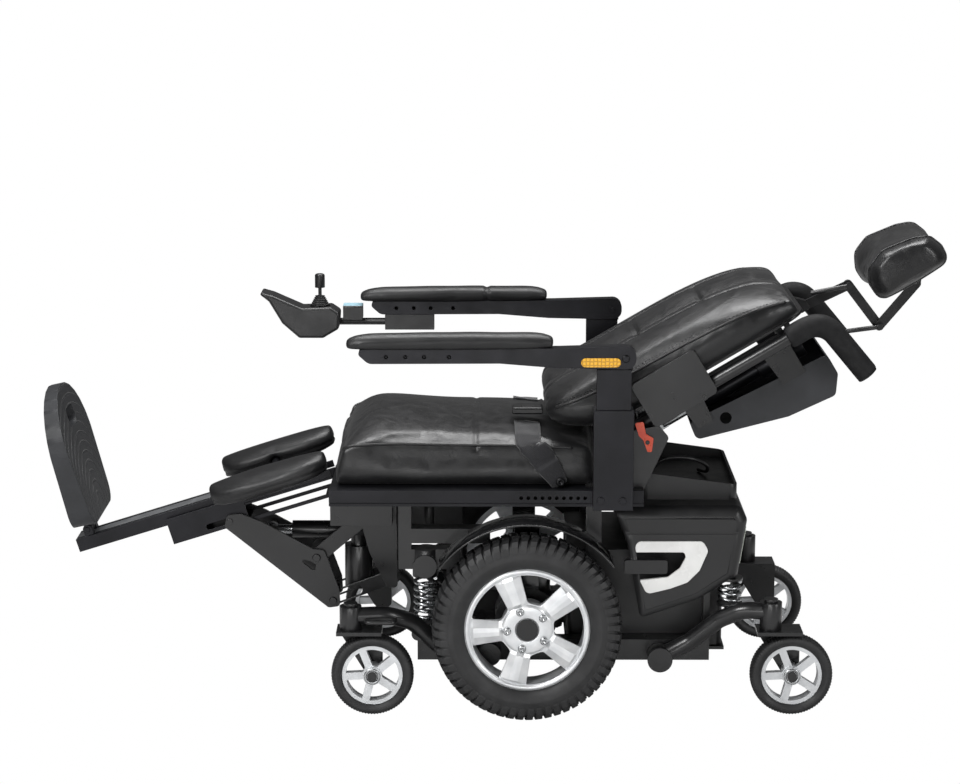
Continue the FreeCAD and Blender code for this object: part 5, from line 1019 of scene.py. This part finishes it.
# Machined dress on the drive rims: ridged spokes, a rolled lip, a hub plate and hexagon-socket wheel bolts
rimDress = {"face": 291, "ridge": 6.5, "root": (44, 19), "tip": (107, 26.5), "flat": 0.36, "spokes": 5,
            "phase": 111, "bolts": 37, "boltY": 297.4}
# Sealed bearing ring on each caster
casterDress = {"y": 18, "ring": ((15.5, 0), (15.5, 3.4), (13.5, 4.2), (10.5, 4.0), (10, 2.5))}


def addRimDress(side, sign):
    d = rimDress
    axle = at(0, 0, driveTyre["z"])
    wheel = "drive_wheel_" + side
    turns = [math.radians(d["phase"] + 360 / d["spokes"] * i) for i in range(d["spokes"])]
    section = ((-1, -0.1), (-0.96, 0.12), (-d["flat"], 1), (0, 1.08), (d["flat"], 1), (0.96, 0.12), (1, -0.1))
    verts = []
    faces = []
    for turn in turns:
        along = Vector((math.cos(turn), 0, math.sin(turn)))
        across = Vector((-math.sin(turn), 0, math.cos(turn)))
        rings = []
        for share in (0, 0.12, 0.5, 0.88, 1):
            r = d["root"][0] + (d["tip"][0] - d["root"][0]) * share
            w = d["root"][1] + (d["tip"][1] - d["root"][1]) * share
            h = d["ridge"] * (0.25 if share in (0, 1) else 1)
            outward = Vector((0, sign, 0))
            rings.append([axle + (along * r + across * w * u + outward * (d["face"] + h * v)) * mm
                          for u, v in section])
        part, quads = skin(rings)
        faces += [tuple(len(verts) + k for k in q) for q in quads]
        verts += part
    spokes = addPiece("rim_spokes_" + side, verts, faces, wheel, machinedAlloy, smooth=False)
    bevelled(spokes, 1.6, 3)
    lip = [(104.5, 20), (106, 25), (109, 27.2), (112.5, 27.4), (115, 26), (115.9, 23), (113, 21)]
    plate = [(20.4, 20), (21, 23.6), (24, 24.4), (42, 24), (47, 22.4), (48, 20)]
    middle = at(0, sign * driveTyre["y"], driveTyre["z"])
    for name, profile in (("lip", lip), ("hub", plate)):
        outline = [(r, sign * y) for r, y in profile]
        ring, quads = skin(turnedRings(outline, middle, 96), closed=True)
        piece = addPiece("rim_%s_%s" % (name, side), ring, quads, wheel, machinedAlloy)
    for i, turn in enumerate(turns):
        x, z = d["bolts"] * math.cos(turn), driveTyre["z"] + d["bolts"] * math.sin(turn)
        bolt = addButton("wheel_bolt_%s_%d" % (side, i), at(x, sign * d["boltY"], z), Vector((0, sign, 0)),
                         7.6, 3.6, wheel, zincPlate)


for side, sign in (("left", -1), ("right", 1)):
    addRimDress(side, sign)
    for end in ("front", "rear"):
        x, y = casterPlaces[end]
        outline = [(r, sign * w) for r, w in casterDress["ring"]]
        middle = at(x, sign * (y + casterDress["y"]), casterTyre["z"])
        ring, quads = skin(turnedRings(outline, middle, 48), closed=True)
        bearing = addPiece("bearing_%s_%s" % (end, side), ring, quads, "%s_caster_%s" % (end, side),
                           zincPlate)
print("rims dressed")


def addSpring(end, side):
    node = "%s_spring_%s" % (end, side)
    piece = copyFaces("wound_" + node, node, nodes[node].data.polygons, "base", zincPlate)
    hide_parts(node)
    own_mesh(piece)


for end in ("front", "rear"):
    for side in ("left", "right"):
        addSpring(end, side)
print("springs wound")


# Small rounded edges on the hard CAD pieces, so that their edges catch the light
edgeMm = {"drive_rim_left": 2.2, "drive_rim_right": 2.2, "base_shroud": 1.5, "back_cover": 2.5,
          "footplate": 3.0, "joystick_pod": 2.0, "battery_box": 2.0}
otherEdgeMm = 0.9
for name, node in nodes.items():
    if node.hide_render or len(node.data.polygons) > 60000 or "spring" in name:
        continue
    join = node.modifiers.new("join", "WELD")
    join.merge_threshold = 1e-5
    flat = node.modifiers.new("flat", "DECIMATE")
    flat.decimate_type = "DISSOLVE"
    flat.angle_limit = math.radians(0.5)
    flat.delimit = {"MATERIAL"}
    edge = node.modifiers.new("edge", "BEVEL")
    edge.width = edgeMm.get(name, otherEdgeMm) * mm
    edge.segments = 2
    edge.limit_method = "ANGLE"
    edge.angle_limit = math.radians(35)
    edge.harden_normals = True
    edge.use_clamp_overlap = True
print("edges rounded")


# Pale floor and soft studio light, the camera at the photograph's place
studio = {"floor": "c8c8c8", "keyPower": 95, "fillPower": 40, "topPower": 95, "lowPower": 20, "ambient": 0.1,
          "camera": (-69.42, -4793.4, 1544.05), "down": 11.566, "yaw": 0.221, "lens": 95.4}


def addLight(name, place, target, sizeM, power, tint="ffffff"):
    lamp = bpy.data.lights.new(name, "AREA")
    lamp.shape = "RECTANGLE"
    lamp.size = sizeM[0]
    lamp.size_y = sizeM[1]
    lamp.energy = power
    lamp.color = linear(tint)[:3]
    holder = bpy.data.objects.new(name, lamp)
    holder.location = place
    holder.rotation_euler = (Vector(target) - Vector(place)).to_track_quat("-Z", "Y").to_euler()
    scene.collection.objects.link(holder)


def whiteToCamera(name, strength):  # lit softly, plain white where the camera looks straight at it
    mat = bpy.data.materials.new(name)
    mat.use_nodes = True
    mat.node_tree.nodes.clear()
    path = addNode(mat, "ShaderNodeLightPath", {}, {})
    surface = addNode(mat, "ShaderNodeBsdfDiffuse", {"Color": linear(studio["floor"])}, {})
    glow = addNode(mat, "ShaderNodeEmission", {"Strength": strength}, {})
    mix = addNode(mat, "ShaderNodeMixShader", {}, {0: path.outputs["Is Camera Ray"], 1: surface.outputs[0],
                                                  2: glow.outputs[0]})
    addNode(mat, "ShaderNodeOutputMaterial", {}, {"Surface": mix.outputs[0]})
    return mat


half = 6.0
floorMesh = bpy.data.meshes.new("floor")
corners = [(-half, -half, 0), (half, -half, 0), (half, half, 0), (-half, half, 0)]
floorMesh.from_pydata(corners, [], [(0, 1, 2, 3)])
floor = bpy.data.objects.new("floor", floorMesh)
scene.collection.objects.link(floor)
floorMesh.materials.append(whiteToCamera("mattWhiteStudioFloor", 1.0))

addLight("key", (-1.9, -2.4, 2.9), (-0.1, 0.0, 0.5), (1.5, 1.1), studio["keyPower"])
addLight("fill", (2.9, -2.6, 1.6), (0.1, 0.0, 0.4), (0.9, 1.6), studio["fillPower"])
addLight("top", (0.1, 0.5, 3.0), (0.1, 0.0, 0.4), (2.6, 0.9), studio["topPower"])
addLight("low", (-0.6, -3.2, 0.5), (0.0, 0.0, 0.3), (2.4, 0.5), studio["lowPower"])

world = bpy.data.worlds.new("studio")
scene.world = world
world.use_nodes = True
sky = world.node_tree.nodes["Background"]
sky.inputs["Color"].default_value = (1, 1, 1, 1)
path = world.node_tree.nodes.new("ShaderNodeLightPath")
level = world.node_tree.nodes.new("ShaderNodeMapRange")
level.inputs["To Min"].default_value = studio["ambient"]
level.inputs["To Max"].default_value = 1.0
world.node_tree.links.new(path.outputs["Is Camera Ray"], level.inputs["Value"])
world.node_tree.links.new(level.outputs[0], sky.inputs["Strength"])

lens = bpy.data.cameras.new("camera")
lens.lens = studio["lens"]
lens.sensor_width = 36
lens.sensor_fit = "HORIZONTAL"
camera = bpy.data.objects.new("camera", lens)
camera.location = at(*studio["camera"])
down, yaw = math.radians(studio["down"]), math.radians(studio["yaw"])
aim = Vector((-math.sin(yaw) * math.cos(down), math.cos(yaw) * math.cos(down), -math.sin(down)))
camera.rotation_euler = aim.to_track_quat("-Z", "Y").to_euler()
scene.collection.objects.link(camera)
scene.camera = camera
scene.view_settings.view_transform = "Standard"
print("studio set")
